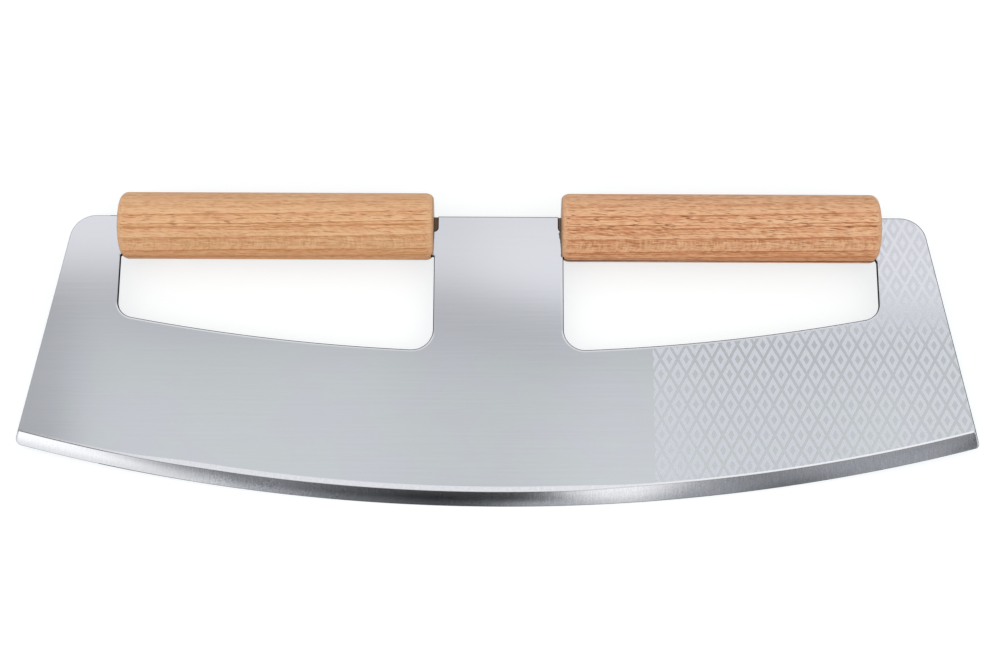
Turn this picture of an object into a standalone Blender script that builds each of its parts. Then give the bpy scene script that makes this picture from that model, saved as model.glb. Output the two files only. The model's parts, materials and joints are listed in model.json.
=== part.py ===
"""Pizza rocker knife: one stainless sheet blade with a curved cutting edge and two finger openings.

A round beech handle sits over each opening. It is sawn open along its lower side and pushed down
over the tang, the narrow bar of sheet that the blade keeps between the opening and its top edge.
Dark glue beds it on the tang and closes the notch at both of its ends, and two steel pins, driven in
from the back, hold it there.

Every piece is drawn in the plane of the blade: X along the blade, Y up from the edge to the
handles, Z out of the front face, with the origin on the handles' common axis, halfway between
them. The pieces hang on one empty, which lays the knife down as it rests on a table: on its two
round handles and, at mid blade, on its ground back just above the edge. All lengths are in metres.
"""

import math

import bmesh
import bpy
from mathutils import Vector

# Blade
BLADE_LENGTH = 0.3560  # between the two ends of the cutting edge, before they are rounded
END_LEAN = 0.01675  # how far a top corner stands in from the end of the cutting edge below it
BLADE_THICKNESS = 0.0020
TOP_RISE = 0.0041  # from the handles' axis up to the top edge
EDGE_DROP = 0.1083  # from the handles' axis down to the lowest point of the cutting edge
EDGE_RADIUS = 0.7030  # of the curve that the knife rocks on
TOP_CORNER_RADIUS = 0.0085
EDGE_CORNER_RADIUS = 0.0025
DEBURR = 0.00025  # width of the chamfer on every cut side of the sheet
DEBURR_LEAST_TURN = 60  # degrees between two faces that get the chamfer

# Ground bevels, one on each face, that meet at the cutting edge
BEVEL_HEIGHT = 0.0053
EDGE_LAND = 0.0003  # thickness left at the cutting edge
BLEND_HEIGHT = 0.0019  # of the shallow strip that leads from the face into the bevel
BLEND_DEPTH = 0.00012  # what that strip takes off the face by the time it meets the bevel
GRIND_OVERRUN = 0.0014  # how far the grind is carried on past the edge and past the face

# Finger openings, one on each side of the centre strut
CENTRE_STRUT_WIDTH = 0.0492
SIDE_STRUT_WIDTH = 0.0182  # from an opening to the top corner of the blade
OPENING_DROP = 0.0495  # from the handles' axis to the openings' lower curve, carried to mid blade
OPENING_RADIUS = 0.7380  # of the openings' lower curve
OPENING_INNER_CORNER = 0.0080
OPENING_OUTER_CORNER = 0.0065
OPENING_TOP_CORNER = 0.0020

# Tangs and the notches above them, which take the handles
TANG_DROP = 0.0019  # from the handles' axis down to the floor of the notch
TANG_HEIGHT = 0.0107
NOTCH_SIDE_ROOM = 0.0014  # from a handle's end to the side of its notch
NOTCH_CORNER_RADIUS = 0.0015

# Handles
HANDLE_DIAMETER = 0.0260
HANDLE_END_ROUNDING = 0.0018
HANDLE_OVERHANG = 0.0005  # how far each end of a handle stands over the side of its opening

# Fixings, and the room that neighbouring pieces keep
GAP = 0.0003
GLUE_THICKNESS = 0.0008  # between the tang and the root of the handle's slot
PIN_DIAMETER = 0.0030
PIN_INSET = 0.0200  # from a handle's end to the pin nearest to it
PIN_FRONT_COVER = 0.0040  # wood left between a pin's point and the front of the handle
PIN_POINT_CHAMFER = 0.0004

# Fineness of the round shapes
EDGE_STEPS = 720  # in a full turn of the cutting curve
OPENING_STEPS = 24  # along an opening's lower curve
CORNER_STEPS = 6
HANDLE_STEPS = 64
END_ROUNDING_STEPS = 6
PIN_STEPS = 24
SMOOTH_TURN = 30  # degrees between two faces that still shade as one
MERGE_DISTANCE = 0.000001

# Sizes that follow
HANDLE_RADIUS = HANDLE_DIAMETER / 2
HALF_THICKNESS = BLADE_THICKNESS / 2
TOP_LENGTH = BLADE_LENGTH - 2 * END_LEAN
OPENING_INNER_X = CENTRE_STRUT_WIDTH / 2
OPENING_OUTER_X = TOP_LENGTH / 2 - SIDE_STRUT_WIDTH
HANDLE_INNER_X = OPENING_INNER_X - HANDLE_OVERHANG
HANDLE_OUTER_X = OPENING_OUTER_X + HANDLE_OVERHANG
HANDLE_LENGTH = HANDLE_OUTER_X - HANDLE_INNER_X
HANDLE_CENTRE_X = (HANDLE_INNER_X + HANDLE_OUTER_X) / 2
NOTCH_INNER_X = HANDLE_INNER_X - NOTCH_SIDE_ROOM
NOTCH_OUTER_X = HANDLE_OUTER_X + NOTCH_SIDE_ROOM
TANG_MIDDLE_DROP = TANG_DROP + TANG_HEIGHT / 2
SLOT_WIDTH = BLADE_THICKNESS + 2 * GAP
SLOT_ROOT_DROP = TANG_DROP - GLUE_THICKNESS - 2 * GAP
CUT_MARGIN = 0.0100  # how far a cutter runs past what it cuts


def grind_section():
    """Half the blade's section at its edge, as (height above the edge, half thickness), from the edge up."""
    return (
        Vector((0, EDGE_LAND / 2)),
        Vector((BEVEL_HEIGHT, HALF_THICKNESS - BLEND_DEPTH)),
        Vector((BEVEL_HEIGHT + BLEND_HEIGHT, HALF_THICKNESS)),
    )


def lying_tilt():
    """Angle between the blade and the table when both handles touch it.

    The blade comes down on the first of three lines: its edge, or one of the two lines where its
    ground back turns. Each is some way down the blade and some way behind its middle plane, and
    touches where down * sin(tilt) + behind * cos(tilt) equals the handle's radius.
    """
    tilts = []
    for height, behind in grind_section():
        line = Vector((EDGE_DROP - height, behind))
        tilts.append(math.asin(HANDLE_RADIUS / line.length) - math.atan2(line.y, line.x))
    return min(tilts)


def lying_frame():
    """The empty that carries every piece. It centres the knife over the world origin."""
    tilt = lying_tilt()
    front = EDGE_DROP * math.cos(tilt) + EDGE_LAND / 2 * math.sin(tilt)
    empty = bpy.data.objects.new("lying_frame", None)
    empty.rotation_euler = (tilt, 0, 0)
    empty.location = (0, (front - HANDLE_RADIUS) / 2, HANDLE_RADIUS)
    bpy.context.scene.collection.objects.link(empty)
    return empty


def arc_between(centre, start, end, steps):
    """Points on the shorter arc round centre, from start to end, both included."""
    first = start - centre
    last = end - centre
    turn = math.atan2(first.cross(last), first.dot(last))
    angle = math.atan2(first.y, first.x)
    points = []
    for step in range(steps + 1):
        along = angle + turn * step / steps
        points.append(centre + first.length * Vector((math.cos(along), math.sin(along))))
    return points


def rounded_corner(before, corner, after, radius):
    """The arc that rounds the corner between two straight sides."""
    to_before = (before - corner).normalized()
    to_after = (after - corner).normalized()
    half_angle = to_before.angle(to_after) / 2
    centre = corner + (to_before + to_after).normalized() * radius / math.sin(half_angle)
    tangent = radius / math.tan(half_angle)
    return arc_between(centre, corner + to_before * tangent, corner + to_after * tangent, CORNER_STEPS)


def corner_on_curve(top, bottom, curve_centre, curve_radius, radius, inward_x):
    """The arc that rounds the corner between a straight side and a long curve that the side runs down to.

    Its centre lies one radius in from the side and one radius in from the curve. The points run
    from the side to the curve. inward_x is 1 where the blade or opening lies towards +X of the side.
    """
    down = (bottom - top).normalized()
    inward = inward_x * Vector((-down.y, down.x))
    start = top + inward * radius
    from_centre = start - curve_centre
    along = from_centre.dot(down)
    reach = along**2 - from_centre.length_squared + (curve_radius - radius) ** 2
    centre = start + down * (math.sqrt(reach) - along)
    on_side = centre - inward * radius
    on_curve = curve_centre + (centre - curve_centre).normalized() * curve_radius
    return arc_between(centre, on_side, on_curve, CORNER_STEPS)


def mirrored(points):
    """The same outline on the left half of the blade, running the other way round."""
    return [Vector((-point.x, point.y)) for point in reversed(points)]


def edge_end():
    """Where the side of the blade would meet the cutting curve if the corner weren't rounded."""
    rise = EDGE_RADIUS - math.sqrt(EDGE_RADIUS**2 - (BLADE_LENGTH / 2) ** 2)
    return Vector((BLADE_LENGTH / 2, rise - EDGE_DROP))


def blank_outline():
    """The sheet before its openings and notches are cut, clockwise from the right end of its top edge."""
    top_left = Vector((-TOP_LENGTH / 2, TOP_RISE))
    top_corner = Vector((TOP_LENGTH / 2, TOP_RISE))
    curve_centre = Vector((0, EDGE_RADIUS - EDGE_DROP))
    half = rounded_corner(top_left, top_corner, edge_end(), TOP_CORNER_RADIUS)
    half += corner_on_curve(top_corner, edge_end(), curve_centre, EDGE_RADIUS, EDGE_CORNER_RADIUS, -1)

    step = 2 * math.pi / EDGE_STEPS
    reach = math.asin(half[-1].x / EDGE_RADIUS)
    for count in range(int(reach / step - 0.5), -1, -1):
        angle = count * step
        half.append(curve_centre + EDGE_RADIUS * Vector((math.sin(angle), -math.cos(angle))))
    return half + mirrored(half[:-1])


def notch_outline():
    """The cut that leaves the tang below it: open at the top, with two rounded corners in its floor."""
    inner_top = Vector((NOTCH_INNER_X, TOP_RISE + CUT_MARGIN))
    inner_floor = Vector((NOTCH_INNER_X, -TANG_DROP))
    outer_floor = Vector((NOTCH_OUTER_X, -TANG_DROP))
    outer_top = Vector((NOTCH_OUTER_X, TOP_RISE + CUT_MARGIN))
    points = [inner_top, outer_top]
    points += rounded_corner(outer_top, outer_floor, inner_floor, NOTCH_CORNER_RADIUS)
    points += rounded_corner(outer_floor, inner_floor, inner_top, NOTCH_CORNER_RADIUS)
    return points


def glue_outline():
    """The right handle's glue: a bead along the tang, turned up at both ends to close the notch."""
    low = GAP - TANG_DROP
    bead_top = low + GLUE_THICKNESS
    inner_low = Vector((NOTCH_INNER_X + GAP, low))
    outer_low = Vector((NOTCH_OUTER_X - GAP, low))
    inner_top = Vector((inner_low.x, TOP_RISE))
    outer_top = Vector((outer_low.x, TOP_RISE))
    corner_radius = NOTCH_CORNER_RADIUS - GAP
    points = [
        inner_top,
        Vector((HANDLE_INNER_X - GAP, TOP_RISE)),
        Vector((HANDLE_INNER_X - GAP, bead_top)),
        Vector((HANDLE_OUTER_X + GAP, bead_top)),
        Vector((HANDLE_OUTER_X + GAP, TOP_RISE)),
        outer_top,
    ]
    points += rounded_corner(outer_top, outer_low, inner_low, corner_radius)
    points += rounded_corner(outer_low, inner_low, inner_top, corner_radius)
    return points


def opening_outline():
    """The right finger opening, clockwise from the upper end of its inner side."""
    top = -TANG_DROP - TANG_HEIGHT
    inner_top = Vector((OPENING_INNER_X, top))
    outer_top = Vector((OPENING_OUTER_X, top))
    inner_low = Vector((OPENING_INNER_X, -OPENING_DROP))
    outer_low = Vector((OPENING_OUTER_X, -OPENING_DROP))
    curve_centre = Vector((0, OPENING_RADIUS - OPENING_DROP))
    inner_foot = corner_on_curve(
        inner_top, inner_low, curve_centre, OPENING_RADIUS, OPENING_INNER_CORNER, 1
    )
    outer_foot = corner_on_curve(
        outer_top, outer_low, curve_centre, OPENING_RADIUS, OPENING_OUTER_CORNER, -1
    )
    points = rounded_corner(inner_low, inner_top, outer_top, OPENING_TOP_CORNER)
    points += rounded_corner(inner_top, outer_top, outer_low, OPENING_TOP_CORNER)
    points += outer_foot
    points += arc_between(curve_centre, outer_foot[-1], inner_foot[-1], OPENING_STEPS)[1:-1]
    points += reversed(inner_foot)
    return points


def material(name, colour, metallic, roughness):
    """A Principled material of one colour."""
    made = bpy.data.materials.new(name)
    made.use_nodes = True
    shader = made.node_tree.nodes["Principled BSDF"]
    shader.inputs["Base Color"].default_value = (*colour, 1)
    shader.inputs["Metallic"].default_value = metallic
    shader.inputs["Roughness"].default_value = roughness
    return made


def place(obj, collection, frame):
    """Puts an object in its collection and hangs it on the lying frame."""
    collection.objects.link(obj)
    obj.parent = frame
    return obj


def make_cutter(obj):
    """A cutter or a guide isn't part of the knife."""
    obj.hide_render = True
    obj.display_type = "WIRE"
    return obj


def boolean(obj, operation, other):
    """Cuts, joins or keeps what obj shares with the other mesh."""
    modifier = obj.modifiers.new(other.name, "BOOLEAN")
    modifier.operation = operation
    modifier.object = other
    modifier.solver = "EXACT"


def sheet_from_outline(name, outline, thickness):
    """A flat sheet of that outline and thickness, centred on the XY plane."""
    curve = bpy.data.curves.new(name + "_outline", "CURVE")
    curve.dimensions = "2D"
    curve.fill_mode = "BOTH"
    curve.extrude = thickness / 2
    spline = curve.splines.new("POLY")
    spline.points.add(len(outline) - 1)
    for spline_point, point in zip(spline.points, outline):
        spline_point.co = (point.x, point.y, 0, 1)
    spline.use_cyclic_u = True
    drawn = bpy.data.objects.new(name + "_outline", curve)
    bpy.context.scene.collection.objects.link(drawn)
    graph = bpy.context.evaluated_depsgraph_get()
    mesh = bpy.data.meshes.new_from_object(drawn.evaluated_get(graph))
    mesh.name = name
    bpy.data.objects.remove(drawn)
    bpy.data.curves.remove(curve)
    shape = bmesh.new()
    shape.from_mesh(mesh)
    bmesh.ops.remove_doubles(shape, verts=shape.verts, dist=MERGE_DISTANCE)
    bmesh.ops.recalc_face_normals(shape, faces=shape.faces)
    shape.to_mesh(mesh)
    shape.free()
    return bpy.data.objects.new(name, mesh)


def turned(name, profile, steps, closed=False):
    """A profile of (radius, height) points turned once round Z. At +X it runs down its outer side."""
    mesh = bpy.data.meshes.new(name)
    count = len(profile)
    edges = [(index, index + 1) for index in range(count - 1)]
    if closed:
        edges.append((count - 1, 0))
    mesh.from_pydata([(radius, 0, height) for radius, height in profile], edges, [])
    obj = bpy.data.objects.new(name, mesh)
    screw = obj.modifiers.new("turn", "SCREW")
    screw.steps = steps
    screw.render_steps = steps
    screw.use_merge_vertices = True
    screw.merge_threshold = MERGE_DISTANCE
    screw.use_smooth_shade = True
    return obj


def box(name, size, centre):
    """A plain block."""
    mesh = bpy.data.meshes.new(name)
    shape = bmesh.new()
    bmesh.ops.create_cube(shape, size=1)
    bmesh.ops.scale(shape, verts=shape.verts, vec=size)
    shape.to_mesh(mesh)
    shape.free()
    obj = bpy.data.objects.new(name, mesh)
    obj.location = centre
    return obj


def rod(name, diameter, length, steps, point_chamfer=0.0):
    """A round rod along Z from the origin up, its upper end chamfered."""
    mesh = bpy.data.meshes.new(name)
    shape = bmesh.new()
    bmesh.ops.create_cone(
        shape, cap_ends=True, segments=steps, radius1=diameter / 2, radius2=diameter / 2, depth=length
    )
    bmesh.ops.translate(shape, verts=shape.verts, vec=(0, 0, length / 2))
    if point_chamfer:
        rim = [edge for edge in shape.edges if min(vert.co.z for vert in edge.verts) > length / 2]
        bmesh.ops.bevel(shape, geom=rim, offset=point_chamfer, segments=1, affect="EDGES")
    shape.to_mesh(mesh)
    shape.free()
    mesh.shade_smooth()
    mesh.set_sharp_from_angle(angle=math.radians(SMOOTH_TURN))
    return bpy.data.objects.new(name, mesh)


def grind_cutter(name, side):
    """A wedge-shaped ring round the centre of the cutting curve, which takes one bevel off the sheet.

    Its cutting side follows the ground section and is carried on past both of its ends.
    """
    land, turn, shoulder = (Vector((EDGE_RADIUS - height, half)) for height, half in grind_section())
    above = shoulder + (shoulder - turn).normalized() * GRIND_OVERRUN
    below = land + (land - turn).normalized() * GRIND_OVERRUN
    profile = [above, Vector((below.x, above.y)), below, turn]
    if side < 0:
        profile = [Vector((point.x, -point.y)) for point in reversed(profile)]
    cutter = turned(name, profile, EDGE_STEPS, closed=True)
    cutter.location = (0, EDGE_RADIUS - EDGE_DROP, 0)
    cutter.rotation_euler = (0, 0, -math.pi / 2)
    return make_cutter(cutter)


def handle_profile():
    """Half the handle's lengthwise section, from the middle of one end to the middle of the other."""
    half = HANDLE_LENGTH / 2
    corner = Vector((HANDLE_RADIUS - HANDLE_END_ROUNDING, half - HANDLE_END_ROUNDING))
    upper = arc_between(
        corner,
        corner + Vector((0, HANDLE_END_ROUNDING)),
        corner + Vector((HANDLE_END_ROUNDING, 0)),
        END_ROUNDING_STEPS,
    )
    lower = [Vector((point.x, -point.y)) for point in reversed(upper)]
    return [Vector((0, half)), *upper, *lower, Vector((0, -half))]


def handle_blank(name, centre_x):
    """The turned handle before it is slotted and drilled, its axis along X."""
    blank = turned(name, handle_profile(), HANDLE_STEPS)
    blank.rotation_euler = (0, math.pi / 2, 0)
    blank.location = (centre_x, 0, 0)
    return blank


def slot_cutter(name, centre_x):
    """The saw cut that lets the handle down over its tang. It is open below and at both ends."""
    height = HANDLE_RADIUS + CUT_MARGIN - SLOT_ROOT_DROP
    size = (HANDLE_LENGTH + 2 * CUT_MARGIN, height, SLOT_WIDTH)
    return make_cutter(box(name, size, (centre_x, -SLOT_ROOT_DROP - height / 2, 0)))


def pin_place(obj, x):
    """Stands a pin or its drill on its hole's centre, far enough behind the handle to pass its back."""
    obj.location = (x, -TANG_MIDDLE_DROP, -HANDLE_RADIUS - CUT_MARGIN)
    return obj


def pin_reach(cover):
    """Length of a rod from there to a point that leaves this much wood at the front of the handle."""
    front = math.sqrt(HANDLE_RADIUS**2 - (TANG_MIDDLE_DROP + PIN_DIAMETER / 2) ** 2)
    return HANDLE_RADIUS + CUT_MARGIN + front - cover


def build_blade(parts, cutters, frame, drills, steel):
    """The sheet, cut, deburred, ground on both faces and drilled for the pins."""
    blade = sheet_from_outline("blade", blank_outline(), BLADE_THICKNESS)
    blade.data.materials.append(steel)
    place(blade, parts, frame)
    cuts = {
        "right_opening": opening_outline(),
        "left_opening": mirrored(opening_outline()),
        "right_notch": notch_outline(),
        "left_notch": mirrored(notch_outline()),
    }
    for name, outline in cuts.items():
        punch = make_cutter(sheet_from_outline(name, outline, BLADE_THICKNESS + 2 * CUT_MARGIN))
        boolean(blade, "DIFFERENCE", place(punch, cutters, frame))
    chamfer = blade.modifiers.new("deburr", "BEVEL")
    chamfer.width = DEBURR
    chamfer.segments = 1
    chamfer.limit_method = "ANGLE"
    chamfer.angle_limit = math.radians(DEBURR_LEAST_TURN)
    for name, side in (("front_grind", 1), ("back_grind", -1)):
        boolean(blade, "DIFFERENCE", place(grind_cutter(name, side), cutters, frame))
    for drill in drills:
        boolean(blade, "DIFFERENCE", drill)


def build_handle(side, centre_x, parts, cutters, frame, wood, steel, glue):
    """One handle with its two pins and its glue. Returns the drills, which also cut the tang."""
    handle = place(handle_blank(side + "_handle", centre_x), parts, frame)
    handle.data.materials.append(wood)
    boolean(handle, "DIFFERENCE", place(slot_cutter(side + "_slot", centre_x), cutters, frame))
    blank = place(make_cutter(handle_blank(side + "_blank", centre_x)), cutters, frame)

    outward = math.copysign(1, centre_x)
    from_middle = HANDLE_LENGTH / 2 - PIN_INSET
    drills = []
    for place_name, direction in (("inner", -outward), ("outer", outward)):
        name = side + "_" + place_name
        x = centre_x + direction * from_middle
        pin = rod(name + "_pin", PIN_DIAMETER, pin_reach(PIN_FRONT_COVER), PIN_STEPS, PIN_POINT_CHAMFER)
        pin.data.materials.append(steel)
        place(pin_place(pin, x), parts, frame)
        boolean(pin, "INTERSECT", blank)
        drill = rod(name + "_drill", PIN_DIAMETER + 2 * GAP, pin_reach(PIN_FRONT_COVER - GAP), PIN_STEPS)
        place(pin_place(make_cutter(drill), x), cutters, frame)
        boolean(handle, "DIFFERENCE", drill)
        drills.append(drill)

    outline = glue_outline() if outward > 0 else mirrored(glue_outline())
    bead = sheet_from_outline(side + "_glue", outline, BLADE_THICKNESS)
    bead.data.materials.append(glue)
    place(bead, parts, frame)
    return drills


def main():
    for old in list(bpy.data.objects):
        bpy.data.objects.remove(old)
    parts = bpy.data.collections.new("pizza_rocker_knife")
    cutters = bpy.data.collections.new("cutters")
    for collection in (parts, cutters):
        bpy.context.scene.collection.children.link(collection)
    frame = lying_frame()

    blade_steel = material("brushed_stainless", (0.55, 0.57, 0.58), 1.0, 0.32)
    pin_steel = material("pin_steel", (0.50, 0.51, 0.52), 1.0, 0.30)
    beech = material("oiled_beech", (0.68, 0.42, 0.24), 0.0, 0.50)
    glue = material("dark_glue", (0.075, 0.048, 0.028), 0.0, 0.45)

    drills = []
    for side, centre_x in (("left", -HANDLE_CENTRE_X), ("right", HANDLE_CENTRE_X)):
        drills += build_handle(side, centre_x, parts, cutters, frame, beech, pin_steel, glue)
    build_blade(parts, cutters, frame, drills, blade_steel)


main()
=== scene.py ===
"""The looks of the pizza rocker knife: brushed and ground steel, turned beech, and a soft white studio.

Shapes are worked out in the plane of the blade, in metres: X along the blade, Y up from the edge to
the handles, Z out of the front face, with the origin on the handles' common axis, halfway between
them. from_blade_plane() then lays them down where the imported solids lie. Materials use the same axes
in millimetres.
"""

import json
import math

import bpy
import numpy as np
from mathutils import Matrix, Vector
from mathutils.geometry import delaunay_2d_cdt


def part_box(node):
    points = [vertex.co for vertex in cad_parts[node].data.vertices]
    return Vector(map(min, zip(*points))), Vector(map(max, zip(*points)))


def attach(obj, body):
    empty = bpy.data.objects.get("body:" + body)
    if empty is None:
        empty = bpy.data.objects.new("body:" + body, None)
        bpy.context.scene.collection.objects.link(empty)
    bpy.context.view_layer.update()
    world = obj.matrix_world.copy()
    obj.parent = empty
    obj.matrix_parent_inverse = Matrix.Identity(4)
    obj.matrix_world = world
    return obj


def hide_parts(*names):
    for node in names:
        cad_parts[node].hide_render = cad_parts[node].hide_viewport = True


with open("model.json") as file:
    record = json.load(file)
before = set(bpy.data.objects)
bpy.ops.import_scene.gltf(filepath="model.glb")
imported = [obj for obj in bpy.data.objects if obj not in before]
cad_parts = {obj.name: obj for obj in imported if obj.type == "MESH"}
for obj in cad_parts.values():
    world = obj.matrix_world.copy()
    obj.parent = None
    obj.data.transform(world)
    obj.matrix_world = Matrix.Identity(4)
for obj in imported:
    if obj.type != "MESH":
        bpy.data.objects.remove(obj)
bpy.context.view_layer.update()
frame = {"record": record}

MM = 0.001

# The lie of the knife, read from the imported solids
HANDLE_LOW, HANDLE_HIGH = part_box("right_handle")
HANDLE_RADIUS = (HANDLE_HIGH.y - HANDLE_LOW.y) / 2
HANDLE_INNER_X, HANDLE_OUTER_X = HANDLE_LOW.x, HANDLE_HIGH.x
AXIS_PLACE = Vector((0, (HANDLE_LOW.y + HANDLE_HIGH.y) / 2, HANDLE_RADIUS))
FACE_NORMAL = Vector(next(m for m in frame["record"]["mounts"] if m["name"] == "front_face")["axis"])
TILT = math.atan2(-FACE_NORMAL.y, FACE_NORMAL.z)
LYING = Matrix.Translation(AXIS_PLACE) @ Matrix.Rotation(TILT, 4, "X")

# Blade
BLADE_LENGTH = 0.3560
END_LEAN = 0.01675
THICKNESS = 0.0020
TOP_RISE = 0.0041
EDGE_DROP = 0.1083
EDGE_RADIUS = 0.7030
TOP_CORNER_RADIUS = 0.0100
LEFT_EDGE_CORNER = 0.0026
RIGHT_EDGE_CORNER = 0.0016
DEBURR = 0.00030  # rounding of the cut sides
UNSHADED_SIDE_TO = -0.147  # from the left end to here the cut side is plain steel, without the painted shade of the other cut sides

# Ground bevel
EDGE_LAND = 0.0003
BEVEL_SLOPE = 0.1377  # how fast a bevel falls away from its face, on average
BEVEL_BULGE = 0.020  # how much steeper it is at the edge, and flatter at the shoulder
STRIP_SLOPE = 0.0632  # the same of the polished strip above it
STRIP_WIDTH = 0.0019  # in the middle of its run
STRIP_END_WIDTH = 0.0006  # towards the ends of the blade
STRIP_FROM, STRIP_TO = -0.128, 0.040  # where along the blade the strip is wide
STRIP_FADE = 0.016
LEFT_DROP = 0.0009  # how much lower the shoulder lies near the left end, where more is left at the edge
LEFT_DROP_FROM, LEFT_DROP_TO = -0.147, -0.105

# Openings and notches
# The places of each opening's inner and outer walls at the handles' axis, and its outer top corner
RIGHT_OPENING = (0.02475, 0.14345, 0.0020)
LEFT_OPENING = (0.02430, 0.14305, 0.0006)
OPENING_DROP = 0.0495
OPENING_RADIUS = 0.7380
OPENING_INNER_CORNER = 0.0080
OPENING_OUTER_CORNER = 0.0065
OPENING_TOP_CORNER = 0.0006
RIM_WIDTH = 0.00085  # of the gentle slope round each opening
RIM_SLOPE = 0.052
TANG_DROP = 0.0019
TANG_HEIGHT = 0.0107
NOTCH_INNER_ROOM = 0.00115
NOTCH_OUTER_ROOM = 0.0014
NOTCH_FLOOR_CORNER = 0.0015
NOTCH_MOUTH_CORNER = 0.0004

# Handles
# How far each end's rounding reaches along the handle, and how much radius it takes
INNER_END_ROUNDING = (0.0031, 0.0021)
OUTER_END_ROUNDING = (0.0030, 0.0030)
LEFT_INNER_CUT = 0.00055  # how much shorter the left handle is at its inner end
RIGHT_OUTER_EXTRA = 0.0008  # how much longer the right one is at its outer end
# How far from the middle of the knife each handle's inner and outer ends are
HANDLE_SPANS = {
    "left": (HANDLE_INNER_X + LEFT_INNER_CUT, HANDLE_OUTER_X),
    "right": (HANDLE_INNER_X, HANDLE_OUTER_X + RIGHT_OUTER_EXTRA),
}
HANDLE_SLIMMING = {"left": 0.00028, "right": 0.0}  # less radius, with the top where it was
TANG_RISE = {"left": 0.00090, "right": 0.00050}  # how much higher the tang's lower side is
SLOT_WIDTH = 0.0021
SLOT_ROOT_DROP = 0.0005
SLOT_LIP = 0.0003
SLOT_WALL_DROPS = (0.0095, 0.0065, 0.0030)  # where the slot's walls have more points, below the axis

# Slips of wood that close the slots, and the right handle's dark seam, painted shade along its slot's mouth
SLIP_SIDE = 0.00103  # half the width that they fill together
SEAM_SIDE = 0.00010  # where the wooden slip ends and the right handle's dark seam of painted shade starts
SLIP_SINK = 0.00001  # how far their lower side lies inside the handle's round
SLIP_ROOM = 0.00004  # between the tang and what closes the slot below it
SLIP_LEAST = 0.00005  # how thick a slip is where it stops

# Pins
PIN_RADIUS = 0.0015
PIN_INSET = 0.0200
PIN_PROUD = 0.00006
PIN_DEPTH = 0.0040
PIN_DROP = TANG_DROP + TANG_HEIGHT / 2
# The rings of points on a pin's end: share of the radius, and how far each lies below the first
PIN_RINGS = ((0.0001, 0), (0.45, 0), (0.8, 0), (0.93, 0.00001), (1.0, 0.00006))

# Glue in the notches, and dark beads beside the handles' inner ends, which are painted shade
GLUE_SINK = 0.00025  # how far the glue in the notches lies below the faces
GLUE_ROOM = 0.00002  # between the glue and what it fills
GLUE_BASE = 0.0012  # how thick it is on the notch's floor
GLUE_CORNER = 0.0002  # at its upper corners
GLUE_ROUNDING = 0.00015  # towards each face
BEAD_WIDTHS = {"left": 0.00035, "right": 0.00100}
BEAD_SLENDER = 0.8  # a bead's height over its width
BEAD_TOP_GAP, BEAD_FOOT_GAP = 0.0002, 0.0006  # from the notch's floor and the tang's lower side
BEAD_NARROWING = 0.7  # the share of its width that a bead loses
BEAD_NARROW_AT = 0.7  # the share of its length at which it has lost it
BEAD_WOBBLE = 0.18
BEAD_WAVES = (2600, 1100)  # radians per metre

HALF = THICKNESS / 2
TOP_X = BLADE_LENGTH / 2 - END_LEAN
NOTCH_INNER_X = HANDLE_INNER_X - NOTCH_INNER_ROOM
NOTCH_OUTER_X = HANDLE_OUTER_X + NOTCH_OUTER_ROOM
EDGE_CENTRE = np.array([0.0, EDGE_RADIUS - EDGE_DROP])
OPENING_CENTRE = np.array([0.0, OPENING_RADIUS - OPENING_DROP])

# Fineness
ARC_STEP = math.radians(5)
EDGE_STEP = 0.0012
SIDE_STEP = 0.0030
BEVEL_ROWS = (0.06, 0.2, 0.35, 0.5, 0.65, 0.8, 0.94, 1.0)  # shares of the bevel's height
STRIP_ROWS = (0.12, 0.88, 1.0)  # shares of the strip's width
SIDE_ROUND_POINTS, GLUE_ROUND_POINTS, BEAD_ROUND_POINTS = 5, 4, 7
HANDLE_ROUND_POINTS, HANDLE_END_PLACES, HANDLE_BODY_PLACES = 97, 11, 40
SLIP_POINTS, BEAD_PLACES, PIN_POINTS = 9, 50, 48
SAME_PLACE = 1e-9  # points closer than this are one
NEARLY_LEVEL = 1e-12  # the least rise of a side
SHARP_FROM = math.radians(40)  # the turn between two faces that leaves a sharp line

# The material slots of the blade's mesh
FACE, BEVEL, SIDE, STRIP, UNSHADED_SIDE = range(5)

# A noise is given by its waves per millimetre along X, Y and Z, its detail, roughness and distortion. A span
# is given by two values, and by what becomes of them where that isn't 0 and 1.
NOISE_MEAN = 0.5

# Brushed steel
FINE_BRUSHING = ((0.035, 6.0, 1.0), 2.0, 0.6)
BRUSH_STREAKS = ((0.014, 1.3, 1.0), 4.0, 0.65)
STEEL_CLOUDS = ((0.030, 0.045, 0.02), 3.0, 0.6, 0.8)
STEEL_BLUISH = (0.594, 0.614, 0.660)
STEEL_GREENISH = (0.589, 0.628, 0.646)
HUE_BY_CLOUD, HUE_BY_X, HUE_BY_Y = (0.38, 0.62), (-166, -156), (-28, -62)
# Each a base, and what the fine brushing and the streaks add
FACE_TONE = (0.935, 0.05, 0.07)
FACE_ROUGHNESS = (0.055, 0.03, 0.02)
BRUSHING_DEPTH = 0.0000006

# Etched lattice
LATTICE_WIDTH, LATTICE_HEIGHT = 6.4, 11.6
LATTICE_GAP, LATTICE_HEART = 0.105, 0.18
LATTICE_BLUR = 0.02
LATTICE_SHIFT = 40  # whole cells, so that no share is below 0
HALF_CELL = 0.5
ETCHED_STEEL = (0.615, 0.628, 0.685)
ETCHED_FROM, FRONT_ONLY = (57.85, 58.15), (0, 0.5)
WORN_BY_X, WORN_BY_Y, MOST_WORN = (105, 175), (-30, -85), 0.55
DEPTH_BY_CLOUD, DEPTH_BY_Y = (0.3, 0.6, 0.75, 1.0), (-38, -25, 1, 0.75)
GREY_FROM_X, GREY_TO_X, GREY_BY_Y, GREY = (62, 85), (150, 115), (-35, -48), 0.06
ETCHED_ROUGHNESS = 0.45

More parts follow.
